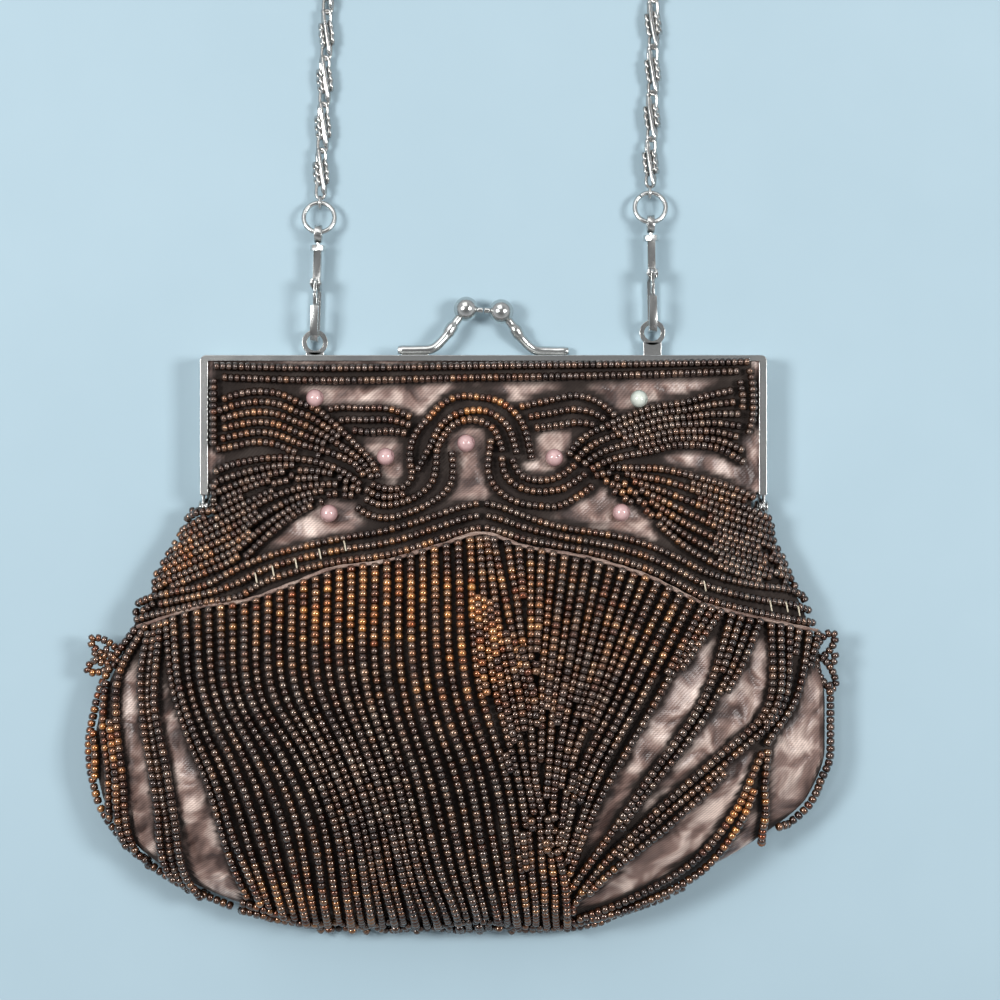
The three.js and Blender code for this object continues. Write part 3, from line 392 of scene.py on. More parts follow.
def addPiece(name, shape, material, body="purse", replaces=(), uv=None, bevel=None):
    points, faces = shape
    mesh = bpy.data.meshes.new(name)
    places = (points + [0, originRise, 0]) * 0.001
    corners = np.concatenate([group.ravel() for group in faces]).astype(np.int32)
    sizes = np.concatenate([np.full(len(group), group.shape[1]) for group in faces])
    mesh.vertices.add(len(places))
    mesh.vertices.foreach_set("co", places.ravel().astype(np.float32))
    mesh.loops.add(len(corners))
    mesh.loops.foreach_set("vertex_index", corners)
    mesh.polygons.add(len(sizes))
    mesh.polygons.foreach_set("loop_start", np.r_[0, np.cumsum(sizes)[:-1]].astype(np.int32))
    mesh.update(calc_edges=True)
    mesh.validate()
    mesh.polygons.foreach_set("use_smooth", np.ones(len(mesh.polygons), bool))
    if uv is not None:
        layer = mesh.uv_layers.new(name="cloth")
        order = np.empty(len(mesh.loops), np.int32)
        mesh.loops.foreach_get("vertex_index", order)
        layer.data.foreach_set("uv", uv[order].ravel().astype(np.float32))
    mesh.materials.append(material)
    piece = bpy.data.objects.new(name, mesh)
    scene.collection.objects.link(piece)
    if bevel:
        edge = piece.modifiers.new("edges", "BEVEL")
        edge.width = bevel * 0.001
        edge.segments = 2
        edge.limit_method = "ANGLE"
        edge.angle_limit = math.radians(38)
        edge.harden_normals = True
    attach(piece, body)
    if replaces:
        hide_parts(*replaces)
    return piece


# Smooth curve through points: cubic pieces whose tangents are the slopes to the neighbours.
def curveThrough(points, count):
    points = np.asarray(points, float)
    d = np.r_[0, np.cumsum(np.linalg.norm(np.diff(points, axis=0), axis=1))]
    straight = (points[1:2] - points[:1]) / d[1]
    slopes = np.gradient(points, d, axis=0) if len(d) > 2 else np.repeat(straight, 2, 0)
    s = np.linspace(0, d[-1], count)
    i = np.clip(np.searchsorted(d, s, side="right") - 1, 0, len(d) - 2)
    w = (d[i + 1] - d[i])[:, None]
    t = (s - d[i])[:, None] / w
    rise = (t * t * (3 - 2 * t)) * (points[i + 1] - points[i])
    return points[i] + rise + t * (1 - t) ** 2 * w * slopes[i] + t * t * (t - 1) * w * slopes[i + 1]


# Pouch: the same sections as the solid, read from a fine table.
pouch = {"length": 142.6, "halfWidth": 98.0, "depth": 34.0, "armReach": 35.0, "backLift": 2.65,
         "reach": 71.4, "middle": 4.8, "hold": 3.8, "wall": 1.2, "closing": 7.0, "rows": 156, "columns": 186,
         "backColumns": 96,
         "held": ([0, 34.2, 34.9, 40.9, 42.4], [69.7, 69.7, 67.0, 67.0, 100])}
sectionRows = {
    "arm": [.03, .12, .25, .4, .7] + [1] * 13,
    "bag": [0] * 6 + [.07, .16, .27, .38, .48, .59, .7, .8, .88, .94, .98, 1],
    "left": [.73] * 6 + [.75, .806, .878, .93, .975, .995, .975, .905, .795, .655, .52, .4],
    "right": [.73] * 6 + [.724, .76, .82, .86, .873, .873, .83, .7, .55, .41, .3, .2],
    "rim": [.14] * 6 + [.152, .176, .194, .21, .22, .223, .22, .215, .205, .2, .19, .18],
    "edge": [.11] * 6 + [.123, .147, .176, .205, .215, .225, .235, .235, .225, .19, .135, .07],
    "dome": [0, 0, .045, .1, .2, .28, .35, .44, .53, .57, .565, .54, .46, .36, .24, .14, .06, .02],
    "back": [.4] * 6 + [1] * 9 + [1.1, 1.25, 1.5],
    "square": [150] * 6 + [30, 12, 8, 7] + [6] * 8,
}
dents = np.array([
    (.04, .42, .12, .6, .45, .03), (.12, .6, .17, .8, .45, .06), (.17, .8, .19, .95, .45, .05),
    (-.03, .76, .03, .85, .45, .06), (-.84, .6, -.62, .8, .3, .035), (-.7, .84, -.5, .92, .3, .03),
    (.6, .56, .42, .82, .32, .035), (.8, .54, .62, .76, .3, .04), (-.4, .3, .4, .3, .4, .03),
])


# Monotone cubic through a table: tangents are harmonic means of the slopes on either side.
def monotone(keys, values, at):
    keys, values = np.asarray(keys, float), np.asarray(values, float)
    step = np.diff(keys)
    slope = np.diff(values) / step
    tangent = np.r_[slope[0], np.zeros(len(slope) - 1), slope[-1]]
    before, after = slope[:-1], slope[1:]
    same = before * after > 0
    tangent[1:-1][same] = 2 * before[same] * after[same] / (before + after)[same]
    at = np.clip(at, keys[0], keys[-1])
    i = np.clip(np.searchsorted(keys, at, side="right") - 1, 0, len(step) - 1)
    w = step[i]
    t = (at - keys[i]) / w
    return (values[i] + t * t * (3 - 2 * t) * (values[i + 1] - values[i]) + t * (1 - t) ** 2 * w * tangent[i]
            + t * t * (t - 1) * w * tangent[i + 1])


def fineSections():
    rows = {key: np.array(value, float) for key, value in sectionRows.items()}
    free = np.r_[np.zeros(6), np.ones(12)]
    held = 1 - free
    bagLength = pouch["length"] - pouch["armReach"]
    down = rows["arm"] * pouch["armReach"] + rows["bag"] * bagLength
    sized = {
        "left": held * pouch["reach"] + free * rows["left"] * pouch["halfWidth"],
        "right": held * pouch["reach"] + free * rows["right"] * pouch["halfWidth"],
        "rim": held * pouch["middle"] + free * rows["rim"] * pouch["depth"],
        "edge": held * pouch["hold"] + free * rows["edge"] * pouch["depth"],
        "dome": rows["dome"] * pouch["depth"],
        "back": held * (pouch["middle"] - pouch["hold"]) + free * rows["back"] * pouch["backLift"],
        "square": np.log(rows["square"]),
    }
    at = np.linspace(down[0], down[-1], 1500)
    table = {key: monotone(down, value, at) for key, value in sized.items()}
    table["down"] = at
    table["square"] = np.exp(table["square"])
    return table


sections = fineSections()


def sectionAt(down, *columns):
    return [np.interp(down, sections["down"], sections[column]) for column in columns]


def halfAt(x, y):
    left, right = sectionAt(-y, "left", "right")
    return np.where(x < 0, left, right)


def dentAt(x, y):
    total = np.zeros_like(x)
    for fromX, fromY, toX, toY, width, depth in dents:
        start = np.array([fromX * pouch["halfWidth"], -fromY * pouch["length"]])
        run = np.array([toX * pouch["halfWidth"], -toY * pouch["length"]]) - start
        away = np.stack([x - start[0], y - start[1]], -1)
        share = np.clip(away @ run / (run @ run), 0, 1)
        reach = np.linalg.norm(away - share[..., None] * run, axis=-1) / (width * pouch["depth"])
        total = total + depth * pouch["depth"] * np.exp(-2 * reach ** 2)
    return total


# Height over the floor: a rounded edge with a dome in front, a flattened curve behind, both drawn
# together in the last few millimetres, where the pouch closes.
def satinHeight(x, y, front=True):
    down = np.clip(-y, sections["down"][0], pouch["length"])
    rim, edge, dome, back, square = sectionAt(down, "rim", "edge", "dome", "back", "square")
    u = np.clip(x / halfAt(x, y), -1, 1)
    bend = np.sqrt(np.maximum(0, 1 - np.abs(u) ** square))
    if front:
        crown = np.maximum(0, 1 - (u / 0.95) ** 2) ** 1.25
        z = rim + edge * bend + (dome - dentAt(x, y)) * crown
    else:
        z = rim - (rim - back) * bend
    t = np.clip((down - pouch["length"] + pouch["closing"]) / pouch["closing"], 0, 1)
    middle = (rim + back) / 2
    return middle + (z - middle) * np.sqrt(1 - t * t)


def onSatin(x, y, lift, front=True):
    side = 1 if front else -1
    step = 0.25
    slopeX = (satinHeight(x + step, y, front) - satinHeight(x - step, y, front)) / (2 * step)
    slopeY = (satinHeight(x, y + step, front) - satinHeight(x, y - step, front)) / (2 * step)
    normal = side * unit(np.stack([-slopeX, -slopeY, np.ones_like(slopeX)], -1))
    foot = np.stack([x, y, satinHeight(x, y, front)], -1)
    return foot + normal * np.asarray(lift)[..., None], normal


# Places a point of the photograph on the satin: the foot is moved until the lifted point projects
# to the pixel.
def fromPhoto(pixels, lift):
    pixels = np.asarray(pixels, float)
    lift = np.broadcast_to(lift, pixels.shape[:1]).astype(float)
    middle = view["middle"]

    def target(z):
        f = (view["distance"] - (z - view["near"])) / view["distance"] * view["pixel"]
        return middle[0] + (pixels[:, 0] - 500) * f, middle[1] - (pixels[:, 1] - 500) * f

    x, y = target(np.full(len(pixels), 15.0))
    for turn in range(9):
        y = np.clip(y, -pouch["length"], -0.3)
        limit = 0.9985 * halfAt(x, y)
        x = np.clip(x, -limit, limit)
        place, normal = onSatin(x, y, lift)
        wantX, wantY = target(place[:, 2])
        x = x + 0.85 * (wantX - place[:, 0])
        y = y + 0.85 * (wantY - place[:, 1])
    return place, normal


# Satin folds: gathers that fade below the frame, soft wrinkles, and creases along short lines
# given as x0, y0, x1, y1, width, depth in millimetres.
folds = {"gather": 0.42, "gatherPitch": 5.6, "gatherFade": 17.0, "wrinkle": 0.34}
creases = np.array([
    (62, -88, 60, -108, 1.5, 1.3), (66, -80, 68, -96, 1.2, 0.9), (54, -98, 47, -118, 1.6, 0.9),
    (-78, -112, -70, -128, 1.4, 0.8), (-66, -114, -58, -134, 1.6, 0.8), (-88, -78, -86, -108, 1.3, 0.7),
    (2, -108, 8, -128, 2.2, 1.4), (-60, -8.6, -20, -7.6, 1.0, 0.5), (18, -8.4, 58, -9.2, 1.2, 0.6),
    (-64, -42, -34, -47, 1.6, 0.7), (16, -47, 44, -39, 1.5, 0.7), (-10, -20, -2, -33, 1.2, 0.5),
    (46, -26, 64, -34, 1.4, 0.6), (40, -84, 30, -108, 1.5, 0.8), (72, -74, 76, -102, 1.1, 0.8),
])


def foldAt(x, y, front):
    fade = np.exp(-np.maximum(0, -y - 3) / folds["gatherFade"])
    wave = np.sin(2 * np.pi * (x + 2.2 * np.sin(x / 9.0) + 0.05 * y * np.sin(x / 6.0)) / folds["gatherPitch"])
    drift = (np.sin(0.19 * x + 0.13 * y + 1.7 * np.sin(0.07 * y))
             * np.sin(0.11 * x - 0.21 * y + np.sin(0.09 * x)))
    total = folds["gather"] * fade * wave + folds["wrinkle"] * drift * (1 - fade)
    total = total + 0.16 * (1 - fade) * np.sin(0.62 * x + 0.5 * np.sin(0.17 * y)) * np.sin(0.05 * y + 0.1 * x)
    if front:
        for x0, y0, x1, y1, width, depth in creases:
            run = np.array([x1 - x0, y1 - y0])
            away = np.stack([x - x0, y - y0], -1)
            share = np.clip(away @ run / (run @ run), 0, 1)
            off = np.linalg.norm(away - share[..., None] * run, axis=-1) / width
            taper = 0.3 + 0.7 * np.sin(np.pi * np.clip(share, 0.06, 0.94))
            total = total - depth * np.exp(-off ** 2) * taper
    return total


# Beads: a barrel with rounded shoulders, repeated along rows. basis is t, n and t x n.
beadSizes = {
    "fringe": {"width": 2.25, "length": 1.72, "pitch": 1.78, "lift": 1.55, "sides": 10},
    "panel": {"width": 2.15, "length": 1.48, "pitch": 1.54, "lift": 1.5, "sides": 10},
    "back": {"width": 2.0, "length": 1.9, "pitch": 1.98, "lift": 1.35, "sides": 8},
}
barrelRings = np.array([(-0.5, 0.42), (-0.4, 0.86), (0.0, 1.0), (0.4, 0.86), (0.5, 0.42)])
plainRings = np.array([(-0.5, 0.5), (-0.36, 0.92), (0.36, 0.92), (0.5, 0.5)])


def beadShape(places, t, n, width, length, sides, rings):
    b = np.cross(t, n)
    a = np.arange(sides) * 2 * np.pi / sides
    along = np.repeat(rings[:, 0], sides)
    round1 = np.outer(rings[:, 1], np.cos(a)).ravel() / 2
    round2 = np.outer(rings[:, 1], np.sin(a)).ravel() / 2
    width, length = width[:, None, None], length[:, None, None]
    points = (places[:, None] + along[None, :, None] * length * t[:, None]
              + width * (round1[None, :, None] * n[:, None] + round2[None, :, None] * b[:, None]))
    count = len(along)
    quads = gridFaces(len(rings), sides)
    ends = np.stack([np.arange(sides)[::-1], count - sides + np.arange(sides)])
    base = np.arange(len(places))[:, None, None] * count
    faces = [(quads[None] + base).reshape(-1, 4), (ends[None] + base).reshape(-1, sides)]
    return points.reshape(-1, 3), faces, count


# A line laid over the satin becomes beads a pitch apart.
def beadsAlong(path, normals, pitch, offset=0.5):
    steps = np.linalg.norm(np.diff(path, axis=0), axis=1)
    d = np.r_[0, np.cumsum(steps)]
    count = int(d[-1] / pitch)
    if count < 1:
        return np.zeros((0, 3)), np.zeros((0, 3)), np.zeros((0, 3))
    s = (np.arange(count) + offset) * pitch
    s = s[s < d[-1]]
    at = lambda rows, where: np.stack([np.interp(where, d, rows[:, k]) for k in range(3)], 1)
    places = at(path, s)
    t = unit(at(path, np.minimum(s + pitch / 2, d[-1])) - at(path, np.maximum(s - pitch / 2, 0)))
    n = at(normals, s)
    n = unit(n - (n * t).sum(1)[:, None] * t)
    return places, t, n


# Patches in pixels, as centre x and y, radii in x and y and strength: the first table places painted glow,
# light through the amber glass; the second greys beads with lustre.
amberGlowSpots = np.array([
    (385, 600, 150, 45, 0.85), (470, 640, 70, 60, 0.6), (750, 815, 45, 50, 0.8), (90, 740, 35, 90, 0.75),
    (470, 405, 60, 22, 0.7), (180, 560, 70, 40, 0.35), (630, 500, 90, 40, 0.3), (560, 880, 60, 60, 0.25),
    (300, 900, 90, 40, 0.35), (640, 620, 60, 60, 0.3), (260, 420, 60, 30, 0.25),
])
lustreSpots = np.array([
    (375, 750, 95, 65, 0.75), (560, 520, 90, 25, 0.6), (700, 580, 90, 35, 0.6), (690, 700, 90, 90, 0.5),
    (250, 590, 100, 25, 0.45), (480, 800, 60, 80, 0.45), (600, 830, 60, 60, 0.45), (660, 420, 80, 35, 0.4),
    (200, 520, 60, 50, 0.4), (250, 700, 70, 60, 0.4),
])


def spotField(places, spots):
    x = 500 + (places[:, 0] - view["middle"][0]) / view["pixel"]
    y = 500 - (places[:, 1] - view["middle"][1]) / view["pixel"]
    field = np.zeros(len(places))
    for cx, cy, rx, ry, strength in spots:
        field = np.maximum(field, strength * np.exp(-((x - cx) / rx) ** 2 - ((y - cy) / ry) ** 2))
    return field


# Collects rows in order of priority and drops beads that would sit inside a bead of another row.
class BeadRows:
    def __init__(self, kind, clearance, seed):
        self.kind, self.clearance = beadSizes[kind], clearance
        self.rows, self.dice = [], np.random.default_rng(seed)

    def add(self, path, normals, offset=0.5, against=()):
        places, t, n = beadsAlong(path, normals, self.kind["pitch"], offset)
        taken = [row[0] for row in self.rows] + list(against)
        if taken and len(places):
            taken = np.concatenate(taken)
            apart = np.linalg.norm(places[:, None] - taken[None], axis=2).min(1)
            keep = apart > self.clearance * self.kind["width"]
            places, t, n = places[keep], t[keep], n[keep]
        if len(places):
            self.rows.append((places, t, n))

    def places(self):
        return np.concatenate([row[0] for row in self.rows])

    def build(self, name, replaces, front=True):
        places, t, n = [np.concatenate([row[k] for row in self.rows]) for k in range(3)]
        count = len(places)
        chance = self.dice.random((count, 4))
        lean = 0.1 * (self.dice.random((count, 3)) - 0.5)
        t = unit(t + lean)
        n = unit(n - (n * t).sum(1)[:, None] * t)
        width = self.kind["width"] * (0.95 + 0.1 * chance[:, 0])
        length = self.kind["length"] * (0.94 + 0.1 * chance[:, 1])
        glowShare = spotField(places, amberGlowSpots) if front else np.full(count, 0.25)
        lustre = spotField(places, lustreSpots) if front else np.full(count, 0.3)
        # Painted glow: amber light through the glass is painted into the colour in soft patches, stronger or
        # weaker bead by bead; lustre greys the beads of other patches.
        glowShare = np.clip((0.1 + 1.15 * glowShare) * (0.15 + 1.25 * chance[:, 2] ** 1.6), 0, 1)
        lustre = np.clip((0.12 + 0.6 * lustre) * chance[:, 3] ** 1.5, 0, 0.6)
        tint = np.stack([glowShare, lustre, chance[:, 1], np.ones(count)], 1)
        rings = barrelRings if front else plainRings
        sides = self.kind["sides"]
        each = 2 * sides * (len(rings) - 1) + 2 * (sides - 2)
        most = int(185000 / each)
        parts = int(math.ceil(count / most))
        for part in range(parts):
            pick = slice(part * count // parts, (part + 1) * count // parts)
            points, faces, corners = beadShape(places[pick], t[pick], n[pick], width[pick], length[pick],
                                               sides, rings)
            piece = addPiece(f"{name}_{part + 1}", (points, faces), beadGlass,
                             replaces=replaces)
            layer = piece.data.color_attributes.new(name="bead", type="FLOAT_COLOR", domain="POINT")
            layer.data.foreach_set("color", np.repeat(tint[pick], corners, 0).ravel().astype(np.float32))
        print(name, count, "beads,", count * each, "triangles")


# Embroidered bands: each band's rows lie evenly between its guide lines, given in pixels.
beadBands = [
    ("topRows", 2, [
        [(212, 366), (300, 368), (480, 366), (600, 364.5), (752, 361.5)],
        [(214, 377), (300, 380), (480, 377.5), (600, 375.5), (742, 371)]]),
    ("leftEdge", 1, [
        [(213.5, 378), (213.5, 412), (213.5, 448)]]),
    ("rightEdge", 2, [
        [(748, 362), (752, 380), (753, 398), (753, 415), (748, 436)],
        [(738, 372), (741, 385), (743, 400), (742, 412), (738, 426)]]),
    ("chevronLeft", 3, [
        [(133, 606), (150, 598), (175, 592), (203, 586), (235, 570), (260, 559), (290, 550), (320, 543),
         (350, 537), (380, 532), (410, 524), (440, 514), (465, 506), (484, 502)],
        [(135, 620), (150, 615.5), (175, 610), (203, 603), (240, 596), (260, 584), (290, 573),
         (320, 565), (350, 560), (380, 556), (410, 549), (440, 539), (465, 531), (484, 527)]]),
    ("chevronRight", 3, [
        [(484, 503), (501, 507), (515, 512.5), (538, 521), (562, 527.5), (590, 532), (620, 537),
         (650, 546), (680, 559), (705, 572), (730, 580), (760, 586), (790, 590), (815, 603)],
        [(484, 527), (502, 532), (520, 538), (555, 545), (590, 552), (620, 560), (650, 570), (680, 584),
         (705, 598), (730, 606), (760, 613), (790, 619), (822, 624)]]),
    ("leftFanUpper", 6, [
        [(216, 402), (235, 395), (255, 391.5), (280, 394), (300, 403), (314, 408), (331, 421),
         (344, 433), (357, 446), (371, 461), (380, 480)],
        [(214, 450), (235, 446), (255, 442), (275, 444), (295, 452), (315, 455), (335, 459), (352, 466),
         (362, 478)]]),
    ("leftFanLower", 17, [
        [(213, 473), (225, 467), (243, 462), (270, 458), (300, 459), (330, 466), (350, 476), (362, 486)],
        [(170, 538), (200, 520), (240, 498), (280, 482), (320, 478), (348, 482), (364, 492)],
        [(141, 612), (160, 600), (185, 589), (236, 566), (257, 546), (279, 526), (302, 510), (330, 499),
         (350, 495), (366, 497)]]),
    ("rightFanUpper", 7, [
        [(568, 456), (575, 446), (589, 434), (604, 427), (623, 418), (651, 408), (686, 402), (707, 396),
         (738, 389)],
        [(590, 470), (605, 462), (625, 456), (648, 452), (677, 445), (707, 446), (721, 449), (736, 457),
         (747, 464)]]),
    ("rightFanLower", 13, [
        [(592, 474), (604, 469), (633, 468), (662, 469), (692, 476), (721, 484), (743, 492), (764, 503)],
        [(597, 480), (625, 484), (655, 497), (690, 514), (725, 530), (757, 541), (784, 552)],
        [(599, 477), (611, 489), (629, 501), (648, 512), (663, 528), (690, 550), (713, 563), (745, 576),
         (775, 585), (800, 594)]]),
    ("arch", 3, [
        [(532, 460), (529, 445), (521, 421), (510, 408.5), (499, 401.5), (478, 397), (458.5, 396.5),
         (440, 406), (429, 418), (418, 430), (411, 445), (410, 462), (412, 476), (405, 486), (388, 489),
         (372, 484), (360, 474)],
        [(503, 452), (499, 440), (495, 431), (487, 424), (470, 419.5), (455, 424), (443, 437),
         (437, 450), (436, 466), (432, 482), (420, 494), (400, 503), (380, 505), (362, 497)]]),
    ("legInner", 1, [
        [(451.5, 451), (453, 466), (452, 480), (445, 492), (430, 503), (408, 513), (385, 518),
         (365, 513), (352, 503)]]),
    ("sCurve", 3, [
        [(491, 439), (489, 455), (488, 470), (493, 484), (505, 496), (520, 503), (540, 506),
         (557, 506.5), (570, 501), (583, 493), (596, 483)],
        [(512, 458), (516, 468), (522, 476), (535, 480), (550, 479.5), (562, 475), (575, 465),
         (590, 452)]]),
    ("leftWave", 3, [
        [(322, 412), (334, 408), (360, 408), (390, 409), (413, 418)],
        [(352, 430), (365, 432), (392, 431), (410, 434)]]),
    ("rightWave", 3, [
        [(519, 407), (545, 401.5), (579, 396), (594, 400), (608, 409), (616, 417)],
        [(534, 428), (555, 425.5), (579, 422.5), (594, 425), (600, 428)]]),
]


def layPanel():
    rows = BeadRows("panel", 0.74, 11)
    lift = beadSizes["panel"]["lift"]
    for order in (0, 1):
        for name, count, guides in beadBands:
            lines = np.stack([curveThrough(guide, 120) for guide in guides])
            for k in range(count):
                if k % 2 != order and count > 1:
                    continue
                if count == 1 and order == 1:
                    continue
                v = k / max(1, count - 1) * (len(lines) - 1)
                i = min(int(v), max(0, len(lines) - 2))
                line = lines[i] if len(lines) == 1 else lines[i] + (v - i) * (lines[i + 1] - lines[i])
                path, normals = fromPhoto(line, lift)
                high = path[:, 1] > -39
                path[high, 0] = np.clip(path[high, 0], -67.4, 67.4)
                rows.add(path, normals, 0.5 + 0.25 * (k % 2))
    rows.build("panel_beads", ("bead_panel_front",))
    return rows


panelRows = layPanel()

# Fringe: guide strands keyed by where they leave the piping, in pixels. The others lie between.
piping = [(137, 627), (203, 606), (243, 601), (286, 586), (334, 568), (380, 562), (440, 545), (484, 533),
          (520, 545),
          (590, 558), (650, 577), (705, 604), (760, 618), (819, 631)]
leftGuides = {
    136: [(136, 631), (111, 666), (103, 717), (108, 774), (113, 832), (124, 858)],
    146: [(146, 633), (122, 679), (121, 723), (129, 787), (136, 844), (156, 880)],
    156: [(155, 630), (152, 698), (162, 761), (172, 819), (186, 885), (196, 896)],
    170: [(170, 624), (178, 698), (191, 736), (213, 787), (232, 844), (258, 908)],
    264: [(264, 602), (270, 700), (303, 755), (331, 819), (347, 924), (349, 936)],
    379: [(379, 571), (382, 691), (411, 787), (436, 883), (452, 924), (455, 937)],
    474: [(474, 545), (484, 691), (513, 787), (526, 880), (530, 920), (532, 935)],
    496: [(496, 545), (519, 640), (532, 691), (541, 787), (564, 883), (568, 937)],
}
rightGuides = {
    505: [(505, 548), (512, 580), (519, 618), (522, 640)],
    530: [(530, 552), (531, 600), (531, 650), (533, 690)],
    560: [(560, 558), (551, 640), (545, 720), (543, 780)],
    600: [(600, 567), (580, 660), (560, 750), (553, 820)],
    659: [(659, 587), (612, 691), (576, 771), (560, 850)],
    704: [(704, 606), (653, 704), (605, 787), (566, 880)],
    745: [(745, 618), (715, 700), (650, 790), (570, 895)],
    787: [(787, 626), (781, 707), (723, 761), (653, 819), (589, 883), (569, 915)],
    819: [(819, 632), (797, 704), (771, 742), (742, 819), (707, 867), (637, 905), (570, 925)],
}
leftHeaders = ([136, 141, 146, 151, 156, 161, 166] + list(np.linspace(173, 470, 26))
               + [475, 479, 482.5, 486, 489.5, 493, 496])
rightHeaders = list(np.linspace(507, 704, 18)) + list(np.linspace(713, 819, 12))
# Below their heads the outer strands draw together in bunches, between which the satin shows:
# header positions, and the positions among the guides that they follow lower down.
leftBunches = ([136, 149.9, 150, 163.9, 164, 175, 500], [136, 146, 152, 158, 167, 175, 500])
rightBunches = ([505, 704, 722.9, 723, 764.9, 765, 799.9, 800, 819],
                [505, 702, 709, 734, 750, 778, 794, 808, 819])
looseStrands = [
    [(768, 749), (765, 785), (765, 819), (761, 844)],
    [(828, 682), (836, 717), (832, 755), (822, 777), (806, 816), (774, 828)],
    [(570, 922), (620, 912), (672, 895), (701, 883)],
    [(119, 851), (143, 858), (156, 876), (181, 890), (210, 904), (232, 918), (258, 913)],
    [(76, 666), (85, 723), (77, 771), (90, 806)],
    [(86, 690), (94, 740), (96, 790), (104, 826)],
    [(528, 830), (532, 870), (535, 905), (537, 930)],
    [(539, 815), (542, 860), (545, 900), (547, 934)],
    [(551, 850), (554, 880), (556, 910), (557, 936)],
]
# The loops at the strands' ends make a beaded rim along the bottom edge.
rims = [
    [(232, 909), (262, 915), (290, 927), (318, 932), (352, 931), (370, 925), (388, 932), (412, 937),
     (440, 931), (482, 930), (506, 926), (530, 932), (566, 938), (592, 927), (640, 912), (676, 894)],
    [(240, 902), (276, 913), (306, 924), (336, 922), (364, 926), (392, 921), (424, 928), (456, 922),
     (492, 921), (520, 925), (556, 927), (600, 917)],
]


def strandLine(header, guides, bunches):
    keys = np.array(sorted(guides), float)
    lines = np.stack([curveThrough(guides[key], 60) for key in sorted(guides)])

    def between(at):
        i = int(np.clip(np.searchsorted(keys, at, side="right") - 1, 0, len(keys) - 2))
        share = (at - keys[i]) / (keys[i + 1] - keys[i])
        return lines[i] + share * (lines[i + 1] - lines[i])

    gather = np.clip(np.linspace(0, 1, 60) / 0.28, 0, 1)[:, None] ** 0.8
    line = (1 - gather) * between(header) + gather * between(np.interp(header, *bunches))
    # The head starts under the piping, whatever the guides' own start.
    edge = np.array(piping, float)
    rise = np.interp(line[0, 0], edge[:, 0], edge[:, 1]) + 1 - line[0, 1]
    line[:, 1] += rise * np.linspace(1, 0, 60) ** 3
    return line


# Where a strand ends at the outline it turns down over the edge of the pouch towards the floor.
def overEdge(path, normals, low):
    end = path[-1]
    drop = end[2] - low
    if drop < 2:
        return path, normals
    out = unit((path[-1] - path[-4]) * (1, 1, 0))
    k = np.linspace(0, 1, 14)[1:, None] * np.pi / 2
    turn = end + out * np.sin(k) * min(0.5, 0.3 * drop) + np.array([0, 0, -1]) * (1 - np.cos(k)) * drop
    bent = unit(np.array([0, 0, 1]) * np.cos(k) + out * np.sin(k))
    return np.concatenate([path, turn]), np.concatenate([normals, bent])


def layFringe():
    rows = BeadRows("fringe", 0.72, 23)
    lift = beadSizes["fringe"]["lift"]
    wobble = np.random.default_rng(5)
    share = np.linspace(0, 1, 90)

    def lay(line, extra, low):
        line = curveThrough(line, 90)
        side = np.stack([-np.gradient(line[:, 1]), np.gradient(line[:, 0])], 1)
        sway = 0.8 * np.sin(2 * np.pi * (share * wobble.uniform(1.2, 2.6) + wobble.random())) * share
        line = line - unit(side) * sway[:, None]
        path, normals = fromPhoto(line, lift + extra * np.clip(share / 0.2, 0, 1))
        return overEdge(path, normals, low) if low else (path, normals)

    for k, line in enumerate(rims):
        path, normals = fromPhoto(curveThrough(line, 300), lift + 0.3 * np.sin(np.linspace(0, 40, 300)))
        rows.add(path, normals)
        if k == 0:
            rows.add(path - (0, -0.7, 2.1), normals)
    for line in looseStrands:
        rows.add(*lay(line, 0.0, 0))
    for headers, guides, bunches in ((leftHeaders, leftGuides, leftBunches),
                                     (rightHeaders, rightGuides, rightBunches)):
        strands = [lay(strandLine(h, guides, bunches), 0.85 * (i % 2), 4.2) for i, h in enumerate(headers)]
        # Each pair of strands is one loop: a short turn joins their ends.
        for one, other in zip(strands[::2], strands[1::2]):
            first, last = one[0][-1], other[0][-1]
            if np.linalg.norm(last - first) > 9:
                continue
            s = np.linspace(0, 1, 20)[:, None]
            out = unit((one[0][-1] - one[0][-18]) * (1, 1, 0))
            link = first + s * (last - first) + (out * 0.8 - (0, 0, 0.4)) * np.sin(np.pi * s)
            rows.add(link, np.repeat([[0, 0, 1.0]], 20, 0))
        for turn in (0, 1):
            for strand in strands[turn::2]:
                rows.add(*strand, wobble.uniform(0.3, 0.7), against=[panelRows.places()])
    rows.build("fringe_beads", ("bead_fringe_front",))
    return rows


fringeRows = layFringe()


# Back: three rows along the chevron and plain hanging strands, under the flattened satin.
backSizes = {"strands": 46, "rows": 3, "firstRow": 1.2, "rowStep": 2.15, "firstBead": 8.2, "spread": 0.93}
chevronAcross = [-1, -.7, -.44, -.19, 0, .06, .35, .53, .68, .88, 1]
chevronDown = [.479, .433, .377, .344, .312, .326, .372, .416, .444, .472, .484]
backAcross = [-1, -.5, 0, .5, 1]
backThird = [-.96, -.45, 0, .4, .87]
backSecond = [-.95, -.4, 0, .33, .82]
backEnd = [-.92, -.36, .02, .27, .7]


